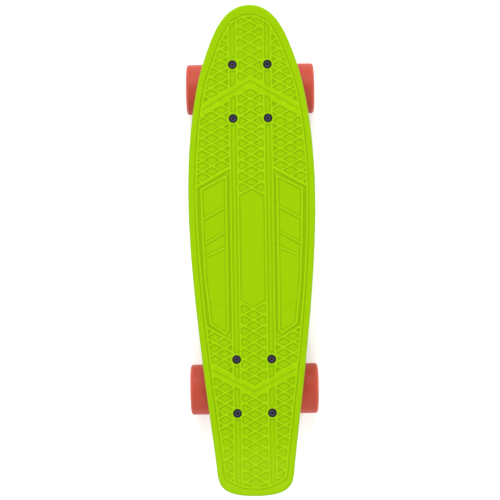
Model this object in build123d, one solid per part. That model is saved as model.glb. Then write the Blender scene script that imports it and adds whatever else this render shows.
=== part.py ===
from build123d import *
import math
import os

# A moulded plastic cruiser skateboard: a one-piece ribbed deck on two cast trucks, with four wheels.
#
# Frame: +X points to the nose, +Y to the left, +Z up. The wheels stand on Z = 0 and the origin lies
# under the middle of the deck's length. All lengths are in millimetres, all angles in degrees.

# Deck
DECK_LENGTH = 578.0
DECK_WIDTH = 150.0
DECK_THICKNESS = 12.0
DECK_SKIN = 4.0
DECK_RIM = 6.0
DECK_EDGE_ROUND = 2.4
UNDERSIDE_Z = 80.0
TOP_Z = UNDERSIDE_Z + DECK_THICKNESS
TAIL_BEND_X = -214.0
TAIL_BEND_RADIUS = 110.0
TAIL_ANGLE = 20.0
NOSE_BEND_X = 237.0
NOSE_BEND_RADIUS = 120.0
NOSE_ANGLE = 10.0
RIB_WIDTH = 3.0
LENGTHWISE_RIB_SPACING = 21.0
CROSSWISE_RIB_SPACING = 30.0
TRUCK_PAD = (92.0, 64.0)
SMALLEST_POCKET = 400.0

# Truck mounting
FRONT_TRUCK_X = 187.2
REAR_TRUCK_X = -160.8
HOLE_SPACING_X = 63.5
HOLE_SPACING_Y = 41.3
MOUNTING_HOLE_RADIUS = 2.7
BOLT_RADIUS = 2.4
BOLT_HEAD_RADIUS = 5.0
BOLT_HEAD_HEIGHT = 3.0
BOLT_HEAD_RECESS = 0.3
BOLT_HEAD_EDGE = 0.4
BOLT_KEY_WIDTH = 3.2
BOLT_KEY_DEPTH = 2.0
BOLT_LENGTH = 25.4
NUT_WIDTH = 9.5
NUT_HEIGHT = 3.6
NUT_COLLAR = 1.6

# Truck, in its own frame: X outboard, Z up, origin in the middle of the baseplate's top face
BASEPLATE = (80.0, 56.0, 6.0)
BASEPLATE_CORNER = 9.0
KINGPIN_FOOT_X = 1.0
KINGPIN_LEAN = 22.0
KINGPIN_RADIUS = 4.76
KINGPIN_BORE = 4.9
KINGPIN_HEX = 14.3
KINGPIN_HEAD_TOP = 4.6
KINGPIN_HEAD_HEIGHT = 5.4
KINGPIN_SEAT = 17.0
KINGPIN_BOSS_RADIUS = 12.0
CUP_WASHER = 1.5
BOARD_BUSHING_HEIGHT = 13.5
RING_HEIGHT = 9.0
ROAD_BUSHING_HEIGHT = 10.5
BUSHING_RADIUS = 12.0
ROAD_BUSHING_TIP = 9.6
BUSHING_BORE = 4.9
KINGPIN_NUT_HEIGHT = 6.0
KINGPIN_NUT_COLLAR = 1.6
KINGPIN_TIP = 63.0
RING_RADIUS = 15.5
RING_BORE = 7.0
PIVOT_POINT = Vector(26.0, 0.0, -10.5)
PIVOT_RADIUS = 5.2
PIVOT_CLEARANCE = 0.3
PIVOT_CUP_RADIUS = 7.6
PIVOT_CUP_BACK = 7.4
PIVOT_MOUTH = 5.0
PIVOT_HOUSING_RADIUS = 10.4
PIVOT_STEM = 12.5
AXLE_X = 6.0
AXLE_Z = -50.0
AXLE_RADIUS = 4.0
AXLE_LENGTH = 150.0
HANGER_WIDTH = 82.5
HANGER_END_RADIUS = 8.3
HANGER_MIDDLE_RADIUS = 9.5
ARM_THICKNESS = 10.0
ARM_TOP_WIDTH = 15.0
ARM_FOOT_WIDTH = 56.0

# Wheel, on the Y axis
WHEEL_RADIUS = 30.0
WHEEL_WIDTH = 45.0
WHEEL_EDGE_ROUND = 3.2
WHEEL_SIDE_FALL = 1.6
WHEEL_RECESS_RADIUS = 15.0
CORE_RADIUS = 16.5
CORE_WIDTH = 24.0
BEARING_RADIUS = 11.0
BEARING_BORE = 4.0
BEARING_WIDTH = 7.0
BEARING_PITCH_RADIUS = 7.5
BALL_RADIUS = 1.98
BALL_GROOVE = 2.03
BALL_COUNT = 7
INNER_LAND = 5.9
OUTER_LAND = 9.1
SHIELD_THICKNESS = 0.4
SHIELD_INSET = 0.3
SPACER_LENGTH = 10.0
SPACER_RADIUS = 5.4
CORE_SHOULDER_RADIUS = 9.6
AXLE_WASHER_THICKNESS = 1.0
AXLE_WASHER_RADIUS = 5.6
AXLE_NUT_WIDTH = 12.7
AXLE_NUT_HEIGHT = 4.8
AXLE_NUT_COLLAR = 1.5

BEARING_CENTRE = (SPACER_LENGTH + BEARING_WIDTH) / 2
WHEEL_CENTRE_Y = HANGER_WIDTH / 2 + AXLE_WASHER_THICKNESS + CORE_WIDTH / 2
OUTER_WASHER_Y = WHEEL_CENTRE_Y + CORE_WIDTH / 2

# Distances down the kingpin, from the plane of the baseplate's top face
BOARD_BUSHING_TOP = KINGPIN_SEAT + CUP_WASHER
RING_TOP = BOARD_BUSHING_TOP + BOARD_BUSHING_HEIGHT
RING_MIDDLE = RING_TOP + RING_HEIGHT / 2
ROAD_BUSHING_TOP = RING_TOP + RING_HEIGHT
ROAD_WASHER_TOP = ROAD_BUSHING_TOP + ROAD_BUSHING_HEIGHT
KINGPIN_NUT_TOP = ROAD_WASHER_TOP + CUP_WASHER

KINGPIN_FOOT = Vector(KINGPIN_FOOT_X, 0, 0)
LEAN = math.radians(KINGPIN_LEAN)
DOWN_KINGPIN = Vector(-math.sin(LEAN), 0, -math.cos(LEAN))
RING_CENTRE = KINGPIN_FOOT + DOWN_KINGPIN * RING_MIDDLE
STEERING = (PIVOT_POINT - RING_CENTRE).normalized()
AXLE_CENTRE = Vector(AXLE_X, 0, AXLE_Z)

BOTTOM_UP = (Align.CENTER, Align.CENTER, Align.MIN)
CENTRED = (Align.CENTER, Align.CENTER, Align.CENTER)


# ---------------------------------------------------------------- shared shapes

def rod(start, direction, length, radius):
    """Round bar from a point along a direction."""
    return Plane(origin=start, z_dir=direction) * Cylinder(radius, length, align=BOTTOM_UP)


def hexagonal(start, direction, length, width):
    """Hexagonal bar of the given width across flats."""
    section = RegularPolygon(width / math.sqrt(3), 6)
    return Plane(origin=start, z_dir=direction) * extrude(section, length)


def turned(points):
    """Solid of revolution about Z from a closed outline of (radius, height) points."""
    return revolve(Plane.XZ * make_face(Polyline(*points, close=True)), Axis.Z)


def along_y(shape, y=0.0):
    """A shape that was made on the Z axis, laid on the Y axis with its middle at y."""
    return Plane(origin=(0, y, 0), z_dir=(0, 1, 0)) * shape


def side_plate(points, width):
    """Plate in the XZ plane, centred on Y = 0, from a closed outline of (x, z) points."""
    return extrude(Plane.XZ * make_face(Polyline(*points, close=True)), width / 2, both=True)


# ---------------------------------------------------------------- deck

def deck_outline(inset=0.0):
    """Plan of the deck, or of a line inset all round from its edge.

    It has a pointed oval nose, long curved sides and a squared, rounded tail.
    """
    nose = DECK_LENGTH / 2 - inset
    widest = DECK_WIDTH / 2 - inset
    shoulder = (225 - 0.33 * inset, 54 - 0.95 * inset)
    shoulder_rear = (192 - 0.33 * inset, 65.5 - 0.95 * inset)
    shoulder_front = (255 - 0.4 * inset, 44 - 0.9 * inset)
    tail_root = (-256, 46 - inset)
    half = [
        Bezier((nose, 0), (nose, 31 - 0.6 * inset), shoulder_front, shoulder),
        Bezier(shoulder, shoulder_rear, (132, widest), (64, widest)),
        Bezier((64, widest), (-35, widest), (-156, 58 - inset), tail_root),
        Bezier(tail_root, (-273, 44 - inset), (-nose, 45.4 - inset), (-nose, 0)),
    ]
    other_half = [edge.mirror(Plane.XZ) for edge in half]
    return make_face(half + other_half)


def bend_line(depth):
    """Side line of the deck at a depth below its top face, from past the tail to past the nose."""
    tail_radius = TAIL_BEND_RADIUS + depth
    nose_radius = NOSE_BEND_RADIUS + depth
    tail = math.radians(TAIL_ANGLE)
    nose = math.radians(NOSE_ANGLE)
    tail_bend = (TAIL_BEND_X, TOP_Z + TAIL_BEND_RADIUS)
    nose_bend = (NOSE_BEND_X, TOP_Z + NOSE_BEND_RADIUS)
    run = 80.0
    tail_arc_end = (tail_bend[0] - tail_radius * math.sin(tail), tail_bend[1] - tail_radius * math.cos(tail))
    nose_arc_end = (nose_bend[0] + nose_radius * math.sin(nose), nose_bend[1] - nose_radius * math.cos(nose))
    tail_end = (tail_arc_end[0] - run * math.cos(tail), tail_arc_end[1] + run * math.sin(tail))
    nose_end = (nose_arc_end[0] + run * math.cos(nose), nose_arc_end[1] + run * math.sin(nose))
    tail_flat = (TAIL_BEND_X, TOP_Z - depth)
    nose_flat = (NOSE_BEND_X, TOP_Z - depth)
    return [
        Line(tail_end, tail_arc_end),
        RadiusArc(tail_arc_end, tail_flat, -tail_radius),
        Line(tail_flat, nose_flat),
        RadiusArc(nose_flat, nose_arc_end, -nose_radius),
        Line(nose_arc_end, nose_end),
    ]


def deck_layer(top_depth, bottom_depth):
    """Slab that follows the deck's bends between two depths below its top face."""
    top = bend_line(top_depth)
    bottom = bend_line(bottom_depth)
    tail_edge = Line(bottom[0] @ 0, top[0] @ 0)
    nose_edge = Line(top[-1] @ 1, bottom[-1] @ 1)
    section = make_face(top + bottom + [tail_edge, nose_edge])
    return extrude(Plane.XZ * section, DECK_WIDTH, both=True)


def upright(face):
    """Tall prism on a plan outline, to cut from a deck layer."""
    return extrude(face, TOP_Z * 2)


def bolt_places():
    """The eight mounting bolts' places, four for each truck."""
    return [
        (truck_x + side_x * HOLE_SPACING_X / 2, side_y * HOLE_SPACING_Y / 2)
        for truck_x in (FRONT_TRUCK_X, REAR_TRUCK_X)
        for side_x in (-1, 1)
        for side_y in (-1, 1)
    ]


def underside_ribs():
    """The ribs and truck pads that the moulding keeps at full depth, as tall prisms."""
    ribs = []
    for index in range(-3, 4):
        place = Pos(0, index * LENGTHWISE_RIB_SPACING)
        ribs.append(place * Rectangle(DECK_LENGTH, RIB_WIDTH))
    reach = int(DECK_LENGTH / 2 / CROSSWISE_RIB_SPACING)
    for index in range(-reach, reach + 1):
        place = Pos(index * CROSSWISE_RIB_SPACING, 0)
        ribs.append(place * Rectangle(RIB_WIDTH, DECK_WIDTH))
    for truck_x in (FRONT_TRUCK_X, REAR_TRUCK_X):
        ribs.append(Pos(truck_x, 0) * Rectangle(*TRUCK_PAD))
    return [upright(rib) for rib in ribs]


def deck():
    body = deck_layer(0, DECK_THICKNESS) & upright(deck_outline())
    long_edges = [edge for edge in body.edges() if is_rim_edge(edge)]
    body = fillet(long_edges, DECK_EDGE_ROUND)
    hollow = deck_layer(DECK_SKIN, DECK_THICKNESS + 1) & upright(deck_outline(DECK_RIM))
    for rib in underside_ribs():
        hollow -= rib
    pockets = [pocket for pocket in hollow.solids() if pocket.volume > SMALLEST_POCKET]
    body = body.solid().cut(*pockets)
    for x, y in bolt_places():
        top = Vector(x, y, TOP_Z)
        body -= rod(top, (0, 0, -1), DECK_THICKNESS, MOUNTING_HOLE_RADIUS)
        body -= Pos(x, y, TOP_Z) * countersink()
    return body


def is_rim_edge(edge):
    """Whether an edge runs round the deck's outline on the top or bottom face."""
    middle = edge @ 0.5
    ends = (edge @ 0, edge @ 1)
    is_upright = abs(ends[0].X - ends[1].X) + abs(ends[0].Y - ends[1].Y) < DECK_THICKNESS / 2
    return not is_upright and abs(middle.Y) > 0.5


def countersink():
    """Cone cut for one bolt head, its mouth on the plane Z = 0."""
    clearance = MOUNTING_HOLE_RADIUS - BOLT_RADIUS
    mouth = BOLT_HEAD_RADIUS + clearance
    depth = BOLT_HEAD_HEIGHT + BOLT_HEAD_RECESS
    return turned([
        (0, 0),
        (mouth, 0),
        (mouth, -BOLT_HEAD_RECESS - BOLT_HEAD_EDGE),
        (MOUNTING_HOLE_RADIUS, -depth),
        (0, -depth),
    ])


# ---------------------------------------------------------------- fasteners

def mounting_bolt():
    """Countersunk bolt with a hexagonal key socket, its head's top at the origin, shank down."""
    blank = turned([
        (0, 0),
        (BOLT_HEAD_RADIUS, 0),
        (BOLT_HEAD_RADIUS, -BOLT_HEAD_EDGE),
        (BOLT_RADIUS, -BOLT_HEAD_HEIGHT),
        (BOLT_RADIUS, -BOLT_LENGTH + 0.5),
        (BOLT_RADIUS - 0.5, -BOLT_LENGTH),
        (0, -BOLT_LENGTH),
    ])
    return blank - hexagonal((0, 0, 0), (0, 0, -1), BOLT_KEY_DEPTH, BOLT_KEY_WIDTH)


def lock_nut(width, height, collar, bore):
    """Hexagonal nut with a round locking collar, standing down from the origin."""
    body = hexagonal((0, 0, 0), (0, 0, -1), height, width)
    corners = turned([
        (0, 0),
        (width / 2 * 1.02, 0),
        (width / 2 * 1.16, -height * 0.18),
        (width / 2 * 1.16, -height * 0.82),
        (width / 2 * 1.02, -height),
        (0, -height),
    ])
    body = body & corners
    body += rod((0, 0, -height), (0, 0, -1), collar, width * 0.44)
    return body - rod((0, 0, 0), (0, 0, -1), height + collar, bore)


def on_mounting_holes(shape, z):
    """Four copies of a fastener at a truck's mounting holes, in the truck's frame."""
    return [
        Pos(side_x * HOLE_SPACING_X / 2, side_y * HOLE_SPACING_Y / 2, z) * shape
        for side_x in (-1, 1)
        for side_y in (-1, 1)
    ]


# ---------------------------------------------------------------- truck

def down_kingpin(distance, shape):
    """A shape made hanging down from the origin, moved to a distance down the kingpin."""
    start = KINGPIN_FOOT + DOWN_KINGPIN * distance
    return Plane(origin=start, x_dir=(0, 1, 0), z_dir=-DOWN_KINGPIN) * shape


def baseplate():
    length, width, thickness = BASEPLATE
    plate = extrude(RectangleRounded(length, width, BASEPLATE_CORNER), -thickness)
    boss = rod(KINGPIN_FOOT - DOWN_KINGPIN * 6, DOWN_KINGPIN, KINGPIN_SEAT + 6, KINGPIN_BOSS_RADIUS)
    housing_length = PIVOT_MOUTH + PIVOT_CUP_BACK + 2.6
    housing = rod(PIVOT_POINT - STEERING * PIVOT_MOUTH, STEERING, housing_length, PIVOT_HOUSING_RADIUS)
    # Two walls tie the boss and the housing to the plate
    wall = side_plate([(-26, 0), (34, 0), (34, -6), (27, -13), (12, -11), (4, -14), (-10, -14)], 4)
    walls = Pos(0, 8, 0) * wall + Pos(0, -8, 0) * wall
    body = plate + boss + housing + walls
    body &= Box(length, width, 60, align=(Align.CENTER, Align.CENTER, Align.MAX))
    mouth_side = PIVOT_POINT - STEERING * (PIVOT_MOUTH + 30)
    body -= rod(mouth_side, STEERING, PIVOT_MOUTH + 30 + PIVOT_CUP_BACK, PIVOT_CUP_RADIUS)
    mouth = PIVOT_POINT - STEERING * PIVOT_MOUTH
    body -= rod(mouth, -STEERING, 6, PIVOT_HOUSING_RADIUS)
    body -= down_kingpin(KINGPIN_SEAT, rod((0, 0, 0), (0, 0, -1), 30, KINGPIN_BOSS_RADIUS + 6))
    body -= rod(KINGPIN_FOOT - DOWN_KINGPIN * 12, DOWN_KINGPIN, 60, KINGPIN_BORE)
    head_room = KINGPIN_HEAD_TOP + KINGPIN_HEAD_HEIGHT
    body -= down_kingpin(-12, hexagonal((0, 0, 0), (0, 0, -1), 12 + head_room, KINGPIN_HEX + 0.3))
    for hole in on_mounting_holes(rod((0, 0, 0), (0, 0, -1), thickness, MOUNTING_HOLE_RADIUS), 0):
        body -= hole
    return body


def pivot_cup():
    """Soft cup in the baseplate that the hanger's nose turns in."""
    start = PIVOT_POINT - STEERING * PIVOT_MOUTH
    cup = rod(start, STEERING, PIVOT_MOUTH + PIVOT_CUP_BACK, PIVOT_CUP_RADIUS)
    cup += rod(start - STEERING * 1.2, STEERING, 1.2, PIVOT_HOUSING_RADIUS - 1)
    socket = PIVOT_RADIUS + PIVOT_CLEARANCE
    cup -= rod(start - STEERING * 2, STEERING, PIVOT_MOUTH + 2, socket)
    return cup - Pos(*PIVOT_POINT) * Sphere(socket)


def kingpin():
    head = hexagonal((0, 0, 0), (0, 0, -1), KINGPIN_HEAD_HEIGHT, KINGPIN_HEX)
    shank = rod((0, 0, 0), (0, 0, -1), KINGPIN_TIP - KINGPIN_HEAD_TOP, KINGPIN_RADIUS)
    tip = shank.faces().sort_by(Axis.Z)[0].edges()
    shank = chamfer(tip, 0.8)
    return down_kingpin(KINGPIN_HEAD_TOP, head + shank)


def kingpin_nut():
    nut = lock_nut(KINGPIN_HEX, KINGPIN_NUT_HEIGHT, KINGPIN_NUT_COLLAR, KINGPIN_RADIUS)
    return down_kingpin(KINGPIN_NUT_TOP, nut)


def board_bushing():
    """Barrel-shaped urethane bushing between the baseplate and the hanger's ring."""
    height = BOARD_BUSHING_HEIGHT
    bulge = ThreePointArc((BUSHING_RADIUS - 0.6, 0), (BUSHING_RADIUS, -height / 2), (BUSHING_RADIUS - 0.6, -height))
    rest = Polyline(bulge @ 1, (BUSHING_BORE, -height), (BUSHING_BORE, 0), bulge @ 0)
    return down_kingpin(BOARD_BUSHING_TOP, revolve(Plane.XZ * make_face([bulge, rest]), Axis.Z))


def road_bushing():
    """Cone-shaped urethane bushing below the ring."""
    height = ROAD_BUSHING_HEIGHT
    cone = turned([
        (BUSHING_BORE, 0),
        (BUSHING_RADIUS, 0),
        (BUSHING_RADIUS, -height * 0.3),
        (ROAD_BUSHING_TIP, -height),
        (BUSHING_BORE, -height),
    ])
    return down_kingpin(ROAD_BUSHING_TOP, cone)


def cup_washer(distance, radius, lip_up):
    """Dished washer with a low lip that turns up or down the kingpin."""
    lip = 1.4
    disc = turned([
        (KINGPIN_BORE, 0),
        (radius + 1, 0),
        (radius + 1, -CUP_WASHER),
        (KINGPIN_BORE, -CUP_WASHER),
    ])
    wall_top = lip if lip_up else 0
    wall_bottom = -CUP_WASHER if lip_up else -CUP_WASHER - lip
    wall = turned([
        (radius + 0.1, wall_bottom),
        (radius + 1, wall_bottom),
        (radius + 1, wall_top),
        (radius + 0.1, wall_top),
    ])
    return down_kingpin(distance, disc + wall)


def hanger():
    """Cast arm that holds the axle, clamped by its ring and turning on its nose."""
    half = HANGER_WIDTH / 2
    tube = along_y(turned([
        (0, -half),
        (HANGER_END_RADIUS, -half),
        (HANGER_END_RADIUS, -half + 10),
        (HANGER_MIDDLE_RADIUS, -12),
        (HANGER_MIDDLE_RADIUS, 12),
        (HANGER_END_RADIUS, half - 10),
        (HANGER_END_RADIUS, half),
        (0, half),
    ]))
    body = Pos(*AXLE_CENTRE) * tube
    ring_plane = Plane(origin=RING_CENTRE, x_dir=(0, 1, 0), z_dir=-DOWN_KINGPIN)
    reach = (AXLE_CENTRE - RING_CENTRE).length
    body += ring_plane * Cylinder(RING_RADIUS, RING_HEIGHT, align=CENTRED)
    neck_width = RING_RADIUS * 1.5
    neck = Box(neck_width, reach, RING_HEIGHT, align=(Align.CENTER, Align.MAX, Align.CENTER))
    body += ring_plane * neck
    body += hanger_arm()
    body += rod(PIVOT_POINT - STEERING * (PIVOT_STEM + 2), STEERING, PIVOT_STEM + 2, PIVOT_RADIUS)
    body += Pos(*PIVOT_POINT) * Sphere(PIVOT_RADIUS)
    # The bushings need room on both sides of the ring
    relief = BUSHING_RADIUS + 1.2
    body -= down_kingpin(RING_TOP, rod((0, 0, 0), (0, 0, 1), 40, relief))
    body -= down_kingpin(ROAD_BUSHING_TOP, rod((0, 0, 0), (0, 0, -1), 40, relief))
    body -= down_kingpin(RING_TOP - 1, rod((0, 0, 0), (0, 0, -1), RING_HEIGHT + 2, RING_BORE))
    return body - along_y(Cylinder(AXLE_RADIUS, HANGER_WIDTH + 2)).move(Location(AXLE_CENTRE))


def hanger_arm():
    """Tapered arm from the axle up to the stem of the nose: wide on the axle, narrow at the top."""
    top = PIVOT_POINT - STEERING * PIVOT_STEM
    arm_line = top - AXLE_CENTRE
    arm_plane = Plane(origin=AXLE_CENTRE, x_dir=(0, 1, 0), z_dir=Vector(0, 1, 0).cross(arm_line))
    height = arm_line.length
    up = 1 if (arm_plane.to_local_coords(top)).Y > 0 else -1
    foot_half = ARM_FOOT_WIDTH / 2
    top_half = ARM_TOP_WIDTH / 2
    outline = Polyline(
        (-foot_half, 0),
        (-top_half - 2, up * height * 0.55),
        (-top_half, up * (height + 3)),
        (top_half, up * (height + 3)),
        (top_half + 2, up * height * 0.55),
        (foot_half, 0),
        close=True,
    )
    return arm_plane * extrude(make_face(outline), ARM_THICKNESS / 2, both=True)


def axle():
    bar = Cylinder(AXLE_RADIUS, AXLE_LENGTH)
    bar = chamfer(bar.edges().filter_by(GeomType.CIRCLE), 0.7)
    return Pos(*AXLE_CENTRE) * along_y(bar)


def axle_nuts():
    """The two lock nuts that hold the wheels on."""
    nut = lock_nut(AXLE_NUT_WIDTH, AXLE_NUT_HEIGHT, AXLE_NUT_COLLAR, AXLE_RADIUS)
    seat = OUTER_WASHER_Y + AXLE_WASHER_THICKNESS
    return [
        Plane(origin=AXLE_CENTRE + Vector(0, side * seat, 0), z_dir=(0, -side, 0)) * nut
        for side in (-1, 1)
    ]


def axle_washers():
    """Thin washers on both sides of both wheels."""
    ring = Cylinder(AXLE_WASHER_RADIUS, AXLE_WASHER_THICKNESS) - Cylinder(AXLE_RADIUS, AXLE_WASHER_THICKNESS)
    inner = HANGER_WIDTH / 2 + AXLE_WASHER_THICKNESS / 2
    outer = OUTER_WASHER_Y + AXLE_WASHER_THICKNESS / 2
    return [Pos(*AXLE_CENTRE) * along_y(ring, side * y) for side in (-1, 1) for y in (inner, outer)]


# ---------------------------------------------------------------- wheel

def tyre():
    """Urethane tread: crisp shoulders, gently domed sides with a recess, cast round the core."""
    half = WHEEL_WIDTH / 2
    core_half = CORE_WIDTH / 2
    section = make_face(Polyline(
        (CORE_RADIUS, -core_half),
        (CORE_RADIUS, core_half),
        (WHEEL_RECESS_RADIUS, core_half),
        (WHEEL_RECESS_RADIUS, half - 2.5),
        (WHEEL_RECESS_RADIUS + 2.5, half),
        (WHEEL_RADIUS, half - WHEEL_SIDE_FALL),
        (WHEEL_RADIUS, -half + WHEEL_SIDE_FALL),
        (WHEEL_RECESS_RADIUS + 2.5, -half),
        (WHEEL_RECESS_RADIUS, -half + 2.5),
        (WHEEL_RECESS_RADIUS, -core_half),
        close=True,
    ))
    shoulders = [corner for corner in section.vertices() if abs(corner.X - WHEEL_RADIUS) < 0.01]
    section = fillet(shoulders, WHEEL_EDGE_ROUND)
    return along_y(revolve(Plane.XZ * section, Axis.Z))


def core():
    """Hard hub inside the tread, with a bearing seat each side of a shoulder."""
    half = CORE_WIDTH / 2
    seat = SPACER_LENGTH / 2
    return along_y(turned([
        (BEARING_RADIUS, -half),
        (CORE_RADIUS, -half),
        (CORE_RADIUS, half),
        (BEARING_RADIUS, half),
        (BEARING_RADIUS, seat),
        (CORE_SHOULDER_RADIUS, seat),
        (CORE_SHOULDER_RADIUS, -seat),
        (BEARING_RADIUS, -seat),
    ]))


def on_bearings(shape):
    """A shape on the Z axis, laid on the wheel's axis at each of its two bearings."""
    return [along_y(shape, side * BEARING_CENTRE) for side in (-1, 1)]


def ball_track():
    return Torus(BEARING_PITCH_RADIUS, BALL_GROOVE)


def outer_races():
    ring = Cylinder(BEARING_RADIUS, BEARING_WIDTH) - Cylinder(OUTER_LAND, BEARING_WIDTH)
    return on_bearings(ring - ball_track())


def inner_races():
    ring = Cylinder(INNER_LAND, BEARING_WIDTH) - Cylinder(BEARING_BORE, BEARING_WIDTH)
    return on_bearings(ring - ball_track())


def balls():
    ring = [place * Sphere(BALL_RADIUS) for place in PolarLocations(BEARING_PITCH_RADIUS, BALL_COUNT)]
    return [ball for one in ring for ball in on_bearings(one)]


def shields():
    """Thin covers on both faces of both bearings, held by the outer races."""
    disc = Cylinder(OUTER_LAND, SHIELD_THICKNESS) - Cylinder(INNER_LAND + 0.2, SHIELD_THICKNESS)
    offset_y = BEARING_WIDTH / 2 - SHIELD_INSET - SHIELD_THICKNESS / 2
    return [cover for side in (-1, 1) for cover in on_bearings(Pos(0, 0, side * offset_y) * disc)]


def spacer():
    return along_y(Cylinder(SPACER_RADIUS, SPACER_LENGTH) - Cylinder(AXLE_RADIUS, SPACER_LENGTH))


# ---------------------------------------------------------------- assembly

def write(node, place, shape):
    """Write one node's solids, moved to their place, to its own file."""
    shapes = shape if isinstance(shape, list) else [shape]
    placed = [place * solid for one in shapes for solid in one.solids()]
    export_step(placed[0] if len(placed) == 1 else Compound(children=placed), f"parts/{node}.step")


def write_truck(end, x, turn):
    place = Location((x, 0, UNDERSIDE_Z), (0, 0, turn))
    bolt_top = DECK_THICKNESS - BOLT_HEAD_RECESS
    mounting_nut = lock_nut(NUT_WIDTH, NUT_HEIGHT, NUT_COLLAR, BOLT_RADIUS)
    write(f"{end}_baseplate", place, baseplate())
    write(f"{end}_pivot_cup", place, pivot_cup())
    write(f"{end}_kingpin", place, kingpin())
    write(f"{end}_kingpin_nut", place, kingpin_nut())
    write(f"{end}_board_bushing", place, board_bushing())
    write(f"{end}_road_bushing", place, road_bushing())
    write(f"{end}_board_washer", place, cup_washer(KINGPIN_SEAT, BUSHING_RADIUS, False))
    write(f"{end}_road_washer", place, cup_washer(ROAD_WASHER_TOP, ROAD_BUSHING_TIP + 0.7, True))
    write(f"{end}_hanger", place, hanger())
    write(f"{end}_axle", place, axle())
    write(f"{end}_axle_nuts", place, axle_nuts())
    write(f"{end}_axle_washers", place, axle_washers())
    write(f"{end}_mounting_bolts", place, on_mounting_holes(mounting_bolt(), bolt_top))
    write(f"{end}_mounting_nuts", place, on_mounting_holes(mounting_nut, -BASEPLATE[2]))


def write_wheel(corner, x, y):
    place = Location((x, y, UNDERSIDE_Z + AXLE_Z))
    write(f"{corner}_tyre", place, tyre())
    write(f"{corner}_core", place, core())
    write(f"{corner}_outer_races", place, outer_races())
    write(f"{corner}_inner_races", place, inner_races())
    write(f"{corner}_balls", place, balls())
    write(f"{corner}_shields", place, shields())
    write(f"{corner}_spacer", place, spacer())


os.makedirs("parts", exist_ok=True)
write("deck", Location(), deck())
for end, truck_x, turn, outboard in (("front", FRONT_TRUCK_X, 0, 1), ("rear", REAR_TRUCK_X, 180, -1)):
    write_truck(end, truck_x, turn)
    for side, side_y in (("left", WHEEL_CENTRE_Y), ("right", -WHEEL_CENTRE_Y)):
        write_wheel(f"{end}_{side}", truck_x + outboard * AXLE_X, side_y)
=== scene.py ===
"""Looks of a moulded plastic cruiser skateboard.

A one-piece ribbed deck stands on two cast trucks with four urethane wheels. +X points to the
nose, +Y to the left and +Z up. Shapes are worked out in millimetres and handed over in metres.
"""

import logging
import math
from dataclasses import dataclass, field
from enum import Enum
from typing import Callable

import bpy
import numpy as np
from mathutils import Euler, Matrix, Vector
from mathutils.geometry import delaunay_2d_cdt


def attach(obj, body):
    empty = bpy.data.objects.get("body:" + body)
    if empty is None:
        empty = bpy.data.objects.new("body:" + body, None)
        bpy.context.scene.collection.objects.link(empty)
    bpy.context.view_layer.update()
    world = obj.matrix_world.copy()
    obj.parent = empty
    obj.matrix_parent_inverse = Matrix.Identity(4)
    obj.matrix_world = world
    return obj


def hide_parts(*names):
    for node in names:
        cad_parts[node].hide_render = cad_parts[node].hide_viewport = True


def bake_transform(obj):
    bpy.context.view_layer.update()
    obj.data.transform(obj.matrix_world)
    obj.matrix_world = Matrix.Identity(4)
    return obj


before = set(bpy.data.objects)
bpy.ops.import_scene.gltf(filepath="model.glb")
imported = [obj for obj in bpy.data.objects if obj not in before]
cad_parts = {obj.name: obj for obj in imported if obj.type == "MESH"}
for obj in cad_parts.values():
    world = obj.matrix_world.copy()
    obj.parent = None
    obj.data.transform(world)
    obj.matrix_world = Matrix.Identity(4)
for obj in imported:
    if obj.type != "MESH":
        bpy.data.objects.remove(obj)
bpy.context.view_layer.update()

MM = 0.001
Array = np.ndarray
Pair = tuple[float, float]
Triple = tuple[float, float, float]
Colour = tuple[float, float, float, float]

log = logging.getLogger("skateboard")


class End(Enum):
    """The board's ends: name, truck's place along the deck, and which way its axle leans out."""

    FRONT = ("front", 187.2, 1.0)
    REAR = ("rear", -160.8, -1.0)

    @property
    def label(self) -> str:
        """The end's name."""
        return self.value[0]

    @property
    def truck_x(self) -> float:
        """Middle of the baseplate along the deck."""
        return self.value[1]

    @property
    def outboard(self) -> float:
        """1 where outboard is towards the nose, -1 where it is towards the tail."""
        return self.value[2]


class Side(Enum):
    """The two sides of a truck."""

    LEFT = ("left", 1.0)
    RIGHT = ("right", -1.0)

    @property
    def label(self) -> str:
        """The side's name."""
        return self.value[0]

    @property
    def sign(self) -> float:
        """1 to the left, -1 to the right."""
        return self.value[1]


# ------------------------------------------------------------------ finishes


class Signal:
    """A shader socket that takes part in Python expressions."""

    def __init__(self, graph: "Graph", socket: bpy.types.NodeSocket | None) -> None:
        """Wraps an output socket of a graph's node, or nothing for a node without one."""
        self.graph = graph
        self.socket = socket

    def _math(self, operation: str, first: "Signal | float", second: "Signal | float") -> "Signal":
        """One Math node on two values."""
        return self.graph.node("ShaderNodeMath", {"operation": operation}, {0: first, 1: second})

    def __add__(self, other: "Signal | float") -> "Signal":
        """Sum."""
        return self._math("ADD", self, other)

    __radd__ = __add__

    def __sub__(self, other: "Signal | float") -> "Signal":
        """Difference."""
        return self._math("SUBTRACT", self, other)

    def __rsub__(self, other: "Signal | float") -> "Signal":
        """Difference the other way round."""
        return self._math("SUBTRACT", other, self)

    def __mul__(self, other: "Signal | float") -> "Signal":
        """Product."""
        return self._math("MULTIPLY", self, other)

    __rmul__ = __mul__

    def smooth(self, low: float, high: float) -> "Signal":
        """Smooth step that is 0 at low and 1 at high."""
        inputs = {"Value": self, "From Min": low, "From Max": high}
        return self.graph.node("ShaderNodeMapRange", {"interpolation_type": "SMOOTHSTEP"}, inputs)


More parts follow.
